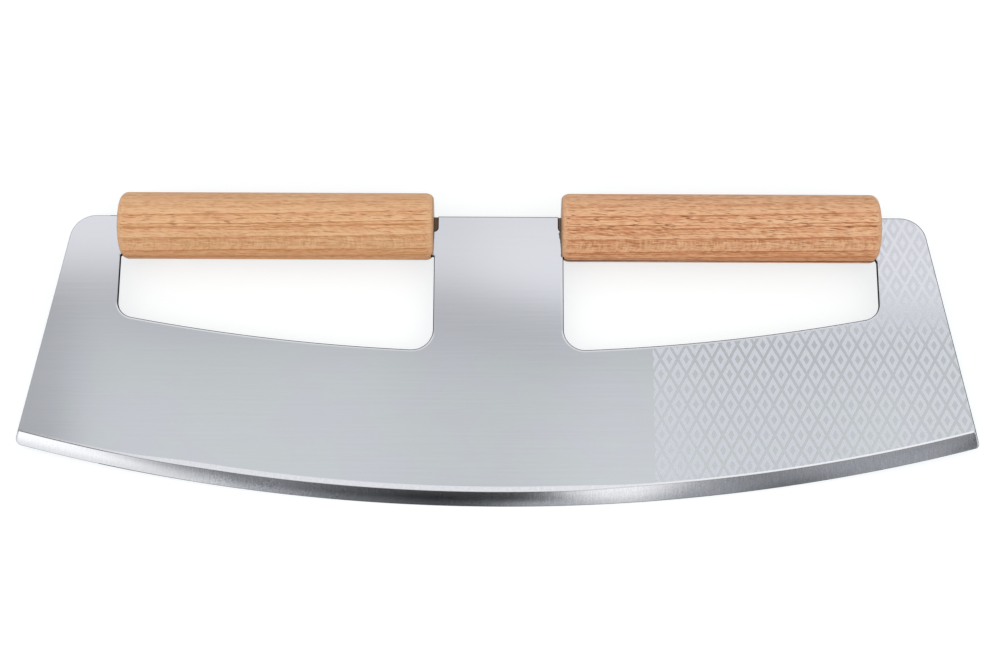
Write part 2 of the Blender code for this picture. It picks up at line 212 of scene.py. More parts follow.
# Ground and polished steel
BEVEL_MARKS = ((2.0, 0.22, 1.0), 3.0, 0.65)
BEVEL_SPECKLE = ((1.5, 1.5, 1.0), 2.0, 0.6)
BEVEL_PATCHES = ((0.09, 0.3, 0.3), 2.0, 0.6)
PITTED_BY_PATCH, PITTED_FROM_X, PITTED_TO_X = (0.45, 0.62), (-118, -98), (-60, -35, 1, 0)
MARKS_SHARE, SPECKLE_SHARE, PITS_SHARE = 0.42, 0.45, 1.1
CALM_LEFT_END = (-125, -105, 0.5, 1.0)
# Painted shade: a thin dark line just below the bevel's shoulder, stronger towards the left end
SHOULDER_SHADE, SHOULDER_SHADE_BY_X = (0.14, 0.48, 1, 0), (-146, -132, 0.75, 0.25)
BEVEL_STEEL = (0.602, 0.608, 0.628)
STRIP_STEEL = (0.615, 0.620, 0.655)
STRIP_MARKS = ((0.9, 0.9, 1.0), 3.0, 0.65)
# Each a base, and what a noise adds
BEVEL_TONE, BEVEL_ROUGHNESS, BEVEL_DEPTH = (1.0, 0.8), (0.06, 0.04), 0.0000028
STRIP_TONE, STRIP_ROUGHNESS, STRIP_DEPTH = (0.85, 0.3), (0.10, 0.05), 0.000003

# Cut sides, each with its steel and the tint of its glancing reflection
SIDE_GRAIN = ((1.6, 1.6, 0.3), 3.0, 0.6)
SIDE_TONE, SIDE_ROUGHNESS = (0.8, 0.4), (0.30, 0.15)
SIDE_TONES = {
    # painted shade: this steel and its glancing tint are very dark, so that the cut sides show as dark lines
    "shaded_cut_side_steel": ((0.045, 0.047, 0.050), (0.12, 0.12, 0.13)),
    # plain steel without that painted shade, for the cut side near the left end
    "unshaded_side_steel": ((0.42, 0.43, 0.45), (1.0, 1.0, 1.0)),
}

# Beech
# For each handle: contrast, then the light, the middle and the dark tone
BEECH_TONES = {
    "left": (1.0, (0.735, 0.450, 0.250), (0.63, 0.345, 0.168), (0.48, 0.215, 0.080)),
    "right": (1.35, (0.735, 0.440, 0.255), (0.61, 0.315, 0.155), (0.43, 0.160, 0.062)),
}
RING_TURN = math.radians(32)
RING_SLANT, RING_SHIFT = 0.017, 0.82
RING_BEND, BEND_REACH = ((0.020, 0.07, 0.06), 1.0, 0.5), 1.3
RING_RIPPLE, RIPPLE_REACH = ((0.16, 0.35, 0.2), 2.0, 0.5), 0.35
MOST_DARK, LEAST_DARK, MIDDLE_DARK = 1.5, -0.5, 0.45
# (place across the section in mm, darkness): each ring darkens slowly upwards and ends sharply
RINGS = (
    (-14, 0.5), (-12.3, 0.7), (-12.1, 0.35), (-11, 0.35), (-10.2, 0.5), (-9.2, 0.9), (-9, 0.35),
    (-8, 0.42), (-7, 0.55), (-6.5, 1.15), (-6.3, 0.1), (-4, 0.37), (-2.2, 0.52), (-1, 0.95),
    (-0.8, 0.02), (0.9, 0.38), (2.2, 0.42), (2.95, 1.2), (3.15, 0.3), (3.8, 0.45), (4.1, 1.15), (4.3, 0),
    (5.8, 0.36), (7.1, 0.45), (7.5, 1.1), (7.7, -0.05), (9.6, 0.25), (11, 0.36), (11.35, 0.08),
    (12.6, 0.28), (14, 0.28),
)
FIBRES, FIBRE_SHARE = ((0.030, 2.2, 2.2), 3.0, 0.7), 2.0
MOTTLE, MOTTLE_SHARE = ((0.35, 1.6, 1.6), 2.0, 0.6), 0.5
PORES, PORE_SHARE = ((0.30, 2.8, 2.8), 1.0, 0.6), 1.7
VESSEL_SLANT = 0.055
VESSEL_DASHES, VESSEL_SPAN = ((0.20, 2.7, 2.7), 1.0, 0.5), (0.605, 0.67)
VESSEL_GAIN, VESSEL_LOSS = 0.85, 0.20  # how strongly they show, by the handle's contrast
VESSEL_BROWN = (0.22, 0.060, 0.010)
VESSELS = ((-14, 0.3), (-7, 0.4), (-1, 0.4), (2, 0.8), (4, 1), (7.5, 1), (9, 0.55), (12, 0.45))
RAY_FLECKS, FLECK_SHARE = ((1.2, 0.30, 0.5), 1.0, 0.6), 0.8
RAY_CURL, RAY_MIDDLE, MOST_FLECKED = 0.09, 3.5, 2
FLECKS = ((-7.5, 0.2), (-6.2, 1.5), (-2.5, 1.4), (-1, 0.6), (2.8, 0.5), (4, 0.1))
FLAMES, FLAME_SPAN = ((0.11, 0.30, 0.25), 1.0, 0.5), (0.48, 0.70, 0, 0.30)
FLAME_RED = (0.66, 0.300, 0.165)
# Painted light: across the lower part of the section the colour is made warmer and redder, for warmer light
# there
PAINTED_UNDERSIDE, PAINTED_UNDERSIDE_TINT = (-3, -9), (1.12, 1.02, 0.94)
# By the distance from a handle's end and from its axis: its pale rounding, and painted shade round the end
PALE_END, END_SHADE, END_SHADE_FROM_AXIS = (0.6, 3.2, 0.5, 0), (0.10, 0.45, 0.45, 0), (10.6, 11.4)
END_SHADE_BROWN = (0.15, 0.070, 0.030)
BEECH_ROUGHNESS, BEECH_SHEEN = (0.50, 0.12), 0.3
VESSEL_SHARE, BEECH_DEPTH = 0.3, 0.000014

# Glue and pins
PLAIN_GRAIN = ((1.5, 1.5, 1.5), 3.0, 0.6)
PLAIN_TONE, PLAIN_VARIATION = (0.85, 0.3), 0.1
# The glue's dark brown is partly its own colour and partly painted shade inside the notches
GLUE_COLOURS = {"left": (0.085, 0.048, 0.020), "right": (0.115, 0.078, 0.048)}
# painted shade: the seam's near-black brown stands for the shadow along the right slot's mouth
SEAM_SHADE_COLOUR = (0.06, 0.025, 0.012)
PIN_COLOUR = (0.5, 0.51, 0.52)
GLUE_ROUGHNESS, SEAM_ROUGHNESS, PIN_ROUGHNESS = 0.45, 0.7, 0.3

# Camera
VIEW_ANGLE = math.radians(17)  # between the camera's axis and the face's normal
CAMERA_DISTANCE = 0.7576
AIM = Vector((0.00084, -0.0412, 0))  # where that axis meets the blade's plane
ROLL = 0.0043
LENS = 72.69
SENSOR_WIDTH = 36

# Studio
# The tables are rows of (angle, brightness) or (angle, factor), but FACE_LEAN holds (angle, shift in angle)
FACE_LEAN = ((-13, -0.55), (-11.5, -0.5), (-1.6, -0.08), (1.5, 0.46), (12, 0.75))
FACE_SKY = (
    (4, 0.96), (6, 0.95), (7, 0.95), (8.2, 0.92), (8.8, 0.89), (9.4, 0.85), (9.8, 0.79), (10.3, 0.7),
    (10.95, 0.67), (11.3, 0.78), (11.65, 1.03), (12, 1.25), (12.6, 1.22), (14, 1.18), (20, 1.15),
)
LOW_SIDES = (
    (-13.4, 0.68), (-12.7, 0.66), (-12.45, 0.635), (-12.2, 0.8), (-11.95, 1.01), (-11.2, 1.01), (-4, 1),
    (-2, 0.95), (0.4, 0.95), (1.6, 0.99), (3, 1.04), (11.5, 1.03), (12.8, 0.97),
)
MIDDLE_SIDES = (
    (-13.4, 0.72), (-12.7, 0.76), (-12.2, 0.83), (-11.9, 0.94), (-11.2, 1.01), (-9, 0.99), (-4, 1.03),
    (-2, 0.96), (0.4, 0.985), (1.6, 1), (3, 1.08),
)
TOP_SIDES = ((-13, 0.99), (-4, 0.97), (-2, 0.91), (-1.4, 0.89), (-0.9, 0.93), (0, 1), (3, 1))
SIDES_TO_MIDDLE, SIDES_TO_TOP = (8.0, 8.8), (11.0, 11.8)
# The share by which the strut is brighter than the rest of the face
STRUT_SKY = (
    (10.2, 0), (10.75, -0.05), (11.25, 0.045), (11.7, 0.055), (12.3, 0), (13, -0.02), (13.4, -0.06),
)
STRUT_ACROSS, MOST_STRUT = (8, 4), 0.1
GLOW_FROM, GLOW_TO, GLOW_ACROSS, GLOW = (9.9, 10.6), (12.5, 11.8), (-10.5, -11.4), 0.08
LEVEL_CURVE = 0.0076
HIGH_BEVEL = (
    (-17, 1.75), (-15, 1.65), (-13.4, 1.22), (-11.7, 0.68), (-9.9, 0.25), (-8, 0.32), (-6.2, 0.17),
    (-4.4, 0.1), (-2.6, 0.06), (-0.7, 0.06), (0.2, 0.06), (1.4, 0.06), (2, 0.4), (2.35, 0.9), (2.7, 1.3),
    (3.6, 1.52), (4.9, 1.47), (5.85, 1.22), (6.3, 1.08), (6.7, 0.62), (7.6, 0.48), (8.4, 0.39),
    (8.9, 0.3), (10.3, 0.34), (11.1, 0.44), (12.1, 0.49), (14, 0.48), (15.7, 0.42), (16.9, 0.4),
    (17.4, 0.13), (18, 0.06),
)
MIDDLE_BEVEL = (
    (-17, 1.65), (-15, 1.6), (-13.4, 1.48), (-11.7, 1.04), (-9.9, 0.38), (-8, 0.28), (-6.2, 0.12),
    (-4.4, 0.07), (-2.6, 0), (-0.7, 0.03), (0.2, 0.03), (1.15, 0.06), (2, 0.28), (2.3, 0.45),
    (2.7, 0.78), (3.15, 1.15), (4.9, 1.5), (5.85, 1.18), (6.3, 0.84), (6.7, 0.6), (8, 0.5), (8.5, 0.42),
    (10.3, 0.3), (11.8, 0.43), (13.2, 0.53), (15.7, 0.52), (16.9, 0.48), (17.4, 0.13), (18, 0.06),
)
LOW_BEVEL = (
    (-17, 1.25), (-15, 1.25), (-13.4, 1.17), (-11.7, 1.18), (-9.9, 0.76), (-8, 0.46), (-6.2, 0.25),
    (-4.4, 0.17), (-2.6, 0.09), (-0.7, 0.13), (0.2, 0.31), (1.15, 0.58), (2.3, 0.6), (3, 0.7),
    (4.9, 1.12), (5.85, 0.82), (6.7, 0.53), (7.15, 0.45), (8.4, 0.49), (9.3, 0.38), (10.3, 0.2),
    (11.8, 0.25), (12.5, 0.37), (14, 0.5), (15.7, 0.54), (16.9, 0.47), (17.4, 0.13), (18, 0.06),
)
LOW_TO_MIDDLE, MIDDLE_TO_HIGH = (-11.8, -10.3), (-9.9, -8.6)
STRIP_SKY = ((-14.8, 0.3), (-13.9, 1), (-13.2, 1.25), (3, 1.25), (6, 1.4), (11, 1.5), (18, 1.5))
BEVEL_TO_STRIP, STRIP_TO_FACE = (-6.6, -4.4), (2.2, 4.6)
FAR_SKY = ((-1, 1.6), (-0.5, 1.55), (-0.2, 1.2), (0, 1), (0.3, 1), (0.7, 1.1), (1, 1))
HIGH_SKY = ((0, 0.35), (0.25, 0.5), (0.45, 1), (1, 1))
NEAR_LEAN = (19, 26, 1, 0)  # what leans further only lights the knife
TOP_TINT = (1.02, 1.0, 0.995)
WARM_FROM = (11.0, 12.0)
DARK_TINT = (0.955, 0.99, 1.055)
COOL_WHERE_DARK, COOL_BELOW = (0.4, 1.3, 1, 0), (-6.6, -8.0)
MOST_BRIGHT = 2  # no table goes above it
FLOOR_WHITE = (0.400, 0.400, 0.400)
FLOOR_GLOW = (0.633, 0.652, 0.657)
FLOOR_REACH = 3  # from its middle, in metres


def smooth_step(low, high, value):
    """0 below low, 1 above high, and a smooth S between them."""
    share = np.clip((value - low) / (high - low), 0, 1)
    return share * share * (3 - 2 * share)


def quarter(count):
    """Angles from 0 to a quarter turn."""
    return np.radians(np.linspace(0, 90, count))


def from_blade_plane(points):
    """Points of the blade's own axes, as rows, moved to where the knife lies."""
    turn = np.array(LYING.to_3x3())
    return np.asarray(points) @ turn.T + np.array(LYING.translation)


def mesh_object(name, points, faces, materials, slot_of_face=None, smooth=True):
    """A mesh object at the origin from points in the blade's axes, with one or more materials."""
    mesh = bpy.data.meshes.new(name)
    mesh.from_pydata(from_blade_plane(points).tolist(), [], faces)
    for made in materials:
        mesh.materials.append(made)
    if slot_of_face is not None:
        mesh.polygons.foreach_set("material_index", np.asarray(slot_of_face, np.int32))
    mesh.update()
    mesh.set_sharp_from_angle(angle=SHARP_FROM)
    mesh.polygons.foreach_set("use_smooth", np.broadcast_to(smooth, len(faces)).astype(bool))
    obj = bpy.data.objects.new(name, mesh)
    bpy.context.scene.collection.objects.link(obj)
    return obj


def grid_faces(rows, columns, start=0, wrap_rows=False, wrap_columns=False):
    """Quads of a grid of points stored row after row, as an array of four indices each."""
    row = np.arange(rows if wrap_rows else rows - 1)
    column = np.arange(columns if wrap_columns else columns - 1)
    row, column = (part.ravel() for part in np.meshgrid(row, column, indexing="ij"))
    next_row, next_column = (row + 1) % rows, (column + 1) % columns
    corners = ((row, column), (row, next_column), (next_row, next_column), (next_row, column))
    return np.stack([start + r * columns + c for r, c in corners], axis=1)


def tube_faces(rows, columns, turned):
    """Faces of a closed tube, whose rows are rings of points: quads, then a cap for each end.

    Its rings run anticlockwise as seen from the last of them, or clockwise if the faces are turned.
    """
    ring = np.arange(columns)
    faces = [*grid_faces(rows, columns, wrap_columns=True), ring[::-1], (rows - 1) * columns + ring]
    return [(face[::-1] if turned else face).tolist() for face in faces]


# Outlines in the blade's plane. Each is a closed row of points with the metal on its left.


def arc(centre, start, end, step=ARC_STEP):
    """Points on the shorter arc round centre from start to end, both included."""
    first, last = np.subtract(start, centre), np.subtract(end, centre)
    turn = math.atan2(first[0] * last[1] - first[1] * last[0], first @ last)
    share = np.linspace(0, 1, max(2, math.ceil(abs(turn) / step)) + 1)
    angle = math.atan2(first[1], first[0]) + turn * share
    return centre + np.hypot(*first) * np.stack([np.cos(angle), np.sin(angle)], axis=1)


def straight(start, end):
    """Evenly spaced points strictly between two ends."""
    count = max(1, math.ceil(np.hypot(*np.subtract(end, start)) / SIDE_STEP))
    return np.linspace(start, end, count + 1)[1:-1]


def fillet(before, corner, after, radius):
    """The arc that rounds the corner between two straight sides."""
    before, corner, after = (np.asarray(point, float) for point in (before, corner, after))
    back, on = before - corner, after - corner
    back, on = back / np.hypot(*back), on / np.hypot(*on)
    half_angle = math.acos(np.clip(back @ on, -1, 1)) / 2
    towards_middle = (back + on) / np.hypot(*(back + on))
    centre = corner + towards_middle * radius / math.sin(half_angle)
    tangent = radius / math.tan(half_angle)
    return arc(centre, corner + back * tangent, corner + on * tangent)


def fillet_on_curve(top, bottom, centre, curve_radius, radius, inward_x):
    """The arc between a straight side, running down from top to bottom, and a long curve that it meets."""
    top, bottom = np.asarray(top, float), np.asarray(bottom, float)
    down = (bottom - top) / np.hypot(*(bottom - top))
    inward = inward_x * np.array([-down[1], down[0]])
    start = top + inward * radius
    offset = start - centre
    along = offset @ down
    reach = along**2 - offset @ offset + (curve_radius - radius) ** 2
    middle = start + down * (math.sqrt(reach) - along)
    on_curve = centre + (middle - centre) / np.hypot(*(middle - centre)) * curve_radius
    return arc(middle, middle - inward * radius, on_curve)


def joined(*stretches):
    """Stretches of an outline one after another, with straight points between them. It closes itself."""
    points = []
    for stretch, following in zip(stretches, stretches[1:] + stretches[:1]):
        points += [stretch, straight(stretch[-1], following[0])]
    return np.concatenate(points)


def flipped(points):
    """The same stretch on the other half of the blade, running the other way."""
    return points[::-1] * (-1, 1)


def edge_end():
    """Where the side of the blade would meet the cutting curve."""
    rise = EDGE_RADIUS - math.sqrt(EDGE_RADIUS**2 - (BLADE_LENGTH / 2) ** 2)
    return np.array([BLADE_LENGTH / 2, rise - EDGE_DROP])


def notch_corners():
    """The four rounded corners of the right notch, from the handle's outer end to its inner end."""
    mouth_out, floor_out = (NOTCH_OUTER_X, TOP_RISE), (NOTCH_OUTER_X, -TANG_DROP)
    mouth_in, floor_in = (NOTCH_INNER_X, TOP_RISE), (NOTCH_INNER_X, -TANG_DROP)
    return [
        fillet((TOP_X, TOP_RISE), mouth_out, floor_out, NOTCH_MOUTH_CORNER),
        fillet(mouth_out, floor_out, floor_in, NOTCH_FLOOR_CORNER),
        fillet(floor_out, floor_in, mouth_in, NOTCH_FLOOR_CORNER),
        fillet(floor_in, mouth_in, (0, TOP_RISE), NOTCH_MOUTH_CORNER),
    ]


def blade_outline():
    """The outer side of the sheet, anticlockwise from the left end of the cutting edge."""
    top = np.array([TOP_X, TOP_RISE])
    right_foot, left_foot = (
        fillet_on_curve(top, edge_end(), EDGE_CENTRE, EDGE_RADIUS, corner, -1)
        for corner in (RIGHT_EDGE_CORNER, LEFT_EDGE_CORNER)
    )
    left_foot = left_foot * (-1, 1)
    cutting = arc(EDGE_CENTRE, left_foot[-1], right_foot[-1], EDGE_STEP / EDGE_RADIUS)
    shoulder = fillet(edge_end(), top, (-TOP_X, TOP_RISE), TOP_CORNER_RADIUS)
    right_half = [right_foot[::-1], shoulder, *notch_corners()]
    left_half = [flipped(stretch) for stretch in reversed(right_half[1:])]
    return joined(cutting[:-1], *right_half, *left_half, left_foot[:-1])


def opening_outline(inner_x, outer_x, outer_top_corner, rise):
    """A finger opening on the right, clockwise, so that the metal is on its left."""
    top = rise - TANG_DROP - TANG_HEIGHT
    inner_top, inner_low = (inner_x, top), (inner_x, -OPENING_DROP)
    outer_top, outer_low = (outer_x, top), (outer_x, -OPENING_DROP)
    curve = (OPENING_CENTRE, OPENING_RADIUS)
    inner_foot = fillet_on_curve(inner_top, inner_low, *curve, OPENING_INNER_CORNER, 1)
    outer_foot = fillet_on_curve(outer_top, outer_low, *curve, OPENING_OUTER_CORNER, -1)
    low = arc(OPENING_CENTRE, outer_foot[-1], inner_foot[-1], EDGE_STEP / OPENING_RADIUS)[1:-1]
    return joined(
        fillet(inner_low, inner_top, outer_top, OPENING_TOP_CORNER),
        fillet(inner_top, outer_top, outer_low, outer_top_corner),
        np.concatenate([outer_foot, low, inner_foot[::-1]]),
    )


def outward_normals(outline):
    """Unit normals of a closed outline that has its metal on the left."""
    along = np.roll(outline, -1, axis=0) - np.roll(outline, 1, axis=0)
    normals = np.stack([along[:, 1], -along[:, 0]], axis=1)
    return normals / np.hypot(*normals.T)[:, None]


# Blade


def strip_width(x):
    """Width of the polished strip above the bevel: wide over one run, narrow towards both ends."""
    wide = smooth_step(STRIP_FROM - STRIP_FADE, STRIP_FROM + STRIP_FADE, x)
    wide = wide * (1 - smooth_step(STRIP_TO - STRIP_FADE, STRIP_TO + STRIP_FADE, x))
    return STRIP_END_WIDTH + (STRIP_WIDTH - STRIP_END_WIDTH) * wide


def bevel_top(width):
    """Height above the edge at which the bevel meets a strip of some width: where their two slopes cross."""
    return (HALF - EDGE_LAND / 2 - STRIP_SLOPE * width) / BEVEL_SLOPE


def bevel_height(x):
    """Height above the edge at which the bevel meets the strip, lower near the left end."""
    return bevel_top(strip_width(x)) - LEFT_DROP * (1 - smooth_step(LEFT_DROP_FROM, LEFT_DROP_TO, x))


def half_thickness(points):
    """Half the blade's thickness: the sheet's, less on the strip's slope, and less again on the bevel.

    The bevel falls from its shoulder by its slope, with a slight parabolic bulge between shoulder and edge.
    """
    height = EDGE_RADIUS - np.hypot(*(points - EDGE_CENTRE).T)
    x = points[:, 0]
    shoulder = bevel_height(x)
    strip = HALF - STRIP_SLOPE * (shoulder + strip_width(x) - height)
    bevel = HALF - STRIP_SLOPE * strip_width(x) - BEVEL_SLOPE * (shoulder - height)
    bevel = bevel + BEVEL_BULGE * height * (1 - np.clip(height / shoulder, 0, 1))
    return np.minimum(HALF, np.where(height < shoulder, bevel, strip))


def ring_row(loop, height_of):
    """Points at a given height above the edge, from side to side of the sheet, kept inside a loop.

    They lie on an arc round the centre of the cutting curve. Its two ends are where the loop's own
    sides reach that height.
    """
    offset = loop - EDGE_CENTRE
    height = EDGE_RADIUS - np.hypot(*offset.T)
    ends = []
    for side in (-1, 1):
        on_side = (offset[:, 0] * side > BLADE_LENGTH / 4) & (height < EDGE_DROP / 4)
        order = np.argsort(height[on_side])
        angle = np.arctan2(offset[on_side, 0], -offset[on_side, 1])[order]
        wanted = height_of(side * BLADE_LENGTH / 2)
        ends.append(np.interp(wanted, height[on_side][order], angle))
    inset = EDGE_STEP / EDGE_RADIUS / 2
    count = math.ceil((ends[1] - ends[0]) * EDGE_RADIUS / EDGE_STEP)
    angle = np.linspace(ends[0] + inset, ends[1] - inset, count)
    radius = EDGE_RADIUS - height_of(EDGE_RADIUS * np.sin(angle))
    return EDGE_CENTRE + np.stack([radius * np.sin(angle), -radius * np.cos(angle)], axis=1)


def inside(points, loop):
    """Whether each point lies inside a closed loop, by counting the sides to its right that it passes."""
    start, end = loop, np.roll(loop, -1, axis=0)
    y = points[:, 1:2]
    crosses = (start[None, :, 1] > y) != (end[None, :, 1] > y)
    rise = end[:, 1] - start[:, 1]
    rise = np.where(np.abs(rise) < NEARLY_LEVEL, NEARLY_LEVEL, rise)
    at = start[:, 0] + (y - start[:, 1]) * (end[:, 0] - start[:, 0]) / rise
    return (crosses & (points[:, 0:1] < at)).sum(axis=1) % 2 == 1


def side_rounds(outline, rim_width):
    """An outline carried across the sheet: a quarter round, a short wall and another quarter round.

    Each point of the outline gives a row of points, from face to face. With a rim width, a gentle
    slope leads from each face to its quarter round.
    """
    normals = outward_normals(outline)
    room = half_thickness(outline - normals * DEBURR / 2)
    rounding = np.minimum(DEBURR, room / 2)[:, None]
    lift = half_thickness(outline - normals * rounding)[:, None]
    lift = lift - RIM_SLOPE * max(0, rim_width - DEBURR)
    turn = quarter(SIDE_ROUND_POINTS)
    inset = rounding * (1 - np.sin(turn))
    height = lift - rounding * (1 - np.cos(turn))
    if rim_width:
        inset = np.insert(inset, 0, rim_width, axis=1)
        height = np.insert(height, 0, HALF, axis=1)
    across = outline[:, None] - normals[:, None] * inset[:, :, None]
    front = np.concatenate([across, height[:, :, None]], axis=2)
    return np.concatenate([front, front[:, ::-1] * (1, 1, -1)], axis=1)


def side_slots(outline, columns, rim_width):
    """The material slot of each quad of a cut side, where the slope of a rim counts as the face."""
    column = np.tile(np.arange(columns - 1), len(outline))
    on_slope = (rim_width > 0) & ((column == 0) | (column == columns - 2))
    # near the left end the cut side gets plain steel, elsewhere the painted shade
    bright = np.repeat(outline[:, 0] < UNSHADED_SIDE_TO, columns - 1)
    return np.where(on_slope, FACE, np.where(bright, UNSHADED_SIDE, SIDE))


def ground_rows(outer):
    """Rows of points across the ground band, on the bevel and on the strip above it."""
    heights = [lambda x, share=share: bevel_height(x) * share for share in BEVEL_ROWS]
    heights += [lambda x, share=share: bevel_height(x) + strip_width(x) * share for share in STRIP_ROWS]
    return [ring_row(outer, height_of) for height_of in heights]


def face_triangles(loops, rows):
    """Triangles of a face, as indices into the points of its closed loops and then of its open rows.

    The first loop is the outer one, and the others are holes.
    """
    flat = np.concatenate([*loops, *rows])
    sides, at = [], 0
    for order, line in enumerate([*loops, *rows]):
        index = np.arange(len(line) if order < len(loops) else len(line) - 1)
        sides += np.stack([at + index, at + (index + 1) % len(line)], axis=1).tolist()
        at += len(line)
    _, _, triangles, kept, _, _ = delaunay_2d_cdt([Vector(p) for p in flat], sides, [], 1, SAME_PLACE)
    triangles = np.array([ids[0] for ids in kept])[np.array(triangles)]
    middle = flat[triangles].mean(axis=1)
    outside_holes = ~inside(middle, loops[1]) & ~inside(middle, loops[2])
    return triangles[inside(middle, loops[0]) & outside_holes]


def ground_slots(middle):
    """The material slot at each point of a face, by its height above the edge."""
    height = EDGE_RADIUS - np.hypot(*(middle - EDGE_CENTRE).T)
    shoulder = bevel_height(middle[:, 0])
    face_from = shoulder + strip_width(middle[:, 0])
    return np.where(height < shoulder, BEVEL, np.where(height > face_from, FACE, STRIP))


def build_blade(steels):
    """The whole sheet: its three cut sides, and two faces that lie between the sides' inner ends.

    A face is a triangulation with rows of points across the ground band, each lifted to half the
    thickness there. What belongs to the flat face is shaded flat, and all else is shaded smooth.
    """
    right_opening = opening_outline(*RIGHT_OPENING, TANG_RISE["right"])
    left_opening = flipped(opening_outline(*LEFT_OPENING, TANG_RISE["left"]))
    points, faces, slots, loops, front_ends, back_ends = [], [], [], [], [], []
    start = 0
    for outline, rim_width in ((blade_outline(), 0), (right_opening, RIM_WIDTH), (left_opening, RIM_WIDTH)):
        side = side_rounds(outline, rim_width)
        rows, columns = side.shape[:2]
        points.append(side.reshape(-1, 3))
        faces += grid_faces(rows, columns, start, wrap_rows=True).tolist()
        slots.append(side_slots(outline, columns, rim_width))
        loops.append(side[:, 0, :2])
        front_ends.append(start + np.arange(rows) * columns)
        back_ends.append(front_ends[-1] + columns - 1)
        start += rows * columns

    ground = ground_rows(loops[0])
    triangles = face_triangles(loops, ground)
    face_slots = ground_slots(np.concatenate([*loops, *ground])[triangles].mean(axis=1))
    ground = np.concatenate(ground)
    lifted = half_thickness(ground)
    for ends, level in ((front_ends, lifted), (back_ends, -lifted)):
        made = np.concatenate([*ends, start + np.arange(len(ground))])[triangles]
        points.append(np.column_stack([ground, level]))
        faces += (made if ends is front_ends else made[:, ::-1]).tolist()
        slots.append(face_slots)
        start += len(ground)

    slots = np.concatenate(slots)
    blade = mesh_object("rocker_blade", np.concatenate(points), faces, steels, slots, slots != FACE)
    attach(blade, "root")
    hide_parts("blade")


# Handles, glue and pins


def handle_section(radius):
    """The handle's section at one place along it: the round, then up one wall of the slot and down the other.

    Rows of (y, z). radius is a column, one value for each place, so the result has a row of section
    points for each place. The angle runs from the front lip of the slot round the top to its back lip.
    """
    lip = np.arcsin((SLOT_WIDTH / 2 + SLOT_LIP) / radius)
    angle = lip + (2 * np.pi - 2 * lip) * np.linspace(0, 1, HANDLE_ROUND_POINTS)
    round_y, round_z = -radius * np.cos(angle), radius * np.sin(angle)
    inner_wall = np.tile(np.negative((*SLOT_WALL_DROPS, SLOT_ROOT_DROP)), (len(radius), 1))
    back_y = np.concatenate([SLOT_LIP - radius, inner_wall], axis=1)
    half = np.full(back_y.shape, SLOT_WIDTH / 2)
    slot_y = np.concatenate([back_y, back_y[:, ::-1]], axis=1)
    slot_z = np.concatenate([-half, half], axis=1)
    return np.concatenate([round_y, slot_y], axis=1), np.concatenate([round_z, slot_z], axis=1)


def handle_profile(inner_x, outer_x, slimming):
    """Places along a handle, closer together at its ends, and its radius at each.

    Towards each end the radius follows a quarter of an ellipse: at a distance d from the end it is
    R - g + g sqrt(1 - ((f - d) / f)^2), where the rounding reaches f along and takes g of the radius.
    """
    ramp = 1 - np.cos(quarter(HANDLE_END_PLACES))
    left, right = sorted((inner_x, outer_x))
    roundings = (INNER_END_ROUNDING, OUTER_END_ROUNDING)
    first, last = roundings if inner_x < outer_x else roundings[::-1]
    body = np.linspace(left + first[0], right - last[0], HANDLE_BODY_PLACES)[1:-1]
    place = np.concatenate([left + first[0] * ramp, body, right - last[0] * ramp[::-1]])
    reach, depth = np.where(place[:, None] < (left + right) / 2, first, last).T
    from_end = np.minimum(place - left, right - place)
    into = np.clip(1 - from_end / reach, 0, 1)
    return place, HANDLE_RADIUS - slimming - depth * (1 - np.sqrt(1 - into**2))


def build_handle(name, node, span, slimming, wood):
    """A turned handle with rounded ends, slotted from below: its section is carried along X."""
    place, radius = handle_profile(*span, slimming)
    y, z = handle_section(radius[:, None])
    x = np.broadcast_to(place[:, None], y.shape)
    points = np.stack([x, y + slimming, z], axis=2)
    handle = mesh_object(name, points.reshape(-1, 3), tube_faces(*y.shape, True), [wood])
    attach(handle, "root")
    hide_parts(node)


def glue_outline(handle_inner_x, handle_outer_x):
    """The glue in the right notch: a base on the notch's floor, turned up at both ends."""
    top, low = TOP_RISE - GLUE_SINK, GLUE_ROOM - TANG_DROP
    base = low + GLUE_BASE
    inner, outer = NOTCH_INNER_X + GLUE_ROOM, NOTCH_OUTER_X - GLUE_ROOM
    near, far = handle_inner_x - GLUE_ROOM, handle_outer_x + GLUE_ROOM
    floor_corner = NOTCH_FLOOR_CORNER - GLUE_ROOM
    return joined(
        fillet((inner, top), (inner, low), (outer, low), floor_corner),
        fillet((inner, low), (outer, low), (outer, top), floor_corner),
        fillet((outer, low), (outer, top), (far, top), GLUE_CORNER),
        fillet((outer, top), (far, top), (far, base), GLUE_CORNER),
        np.array([(far, base)]),
        np.array([(near, base)]),
        fillet((near, base), (near, top), (inner, top), GLUE_CORNER),
        fillet((near, top), (inner, top), (inner, low), GLUE_CORNER),
    )


def build_glue(name, node, outline, glue):
    """The dark glue that closes a notch: its outline carried across the sheet, from face to face.

    It lies a little below both faces, and is drawn in near each by a quarter round.
    """
    turn = quarter(GLUE_ROUND_POINTS)
    inset = GLUE_ROUNDING * (1 - np.sin(turn))
    level = HALF - GLUE_SINK - GLUE_ROUNDING * (1 - np.cos(turn))
    inset, level = np.append(inset, inset[::-1]), np.append(level, -level[::-1])
    flat = outline[:, None] - outward_normals(outline)[:, None] * inset[:, None]
    points = np.concatenate([flat, np.broadcast_to(level[:, None], (*flat.shape[:2], 1))], axis=2)
    rows, columns = points.shape[:2]
    faces = grid_faces(rows, columns, wrap_rows=True).tolist()
    first = np.arange(rows) * columns
    faces += [first.tolist(), (first[::-1] + columns - 1).tolist()]
    made = mesh_object(name, points.reshape(-1, 3), faces, [glue])
    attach(made, "root")
    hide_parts(node)


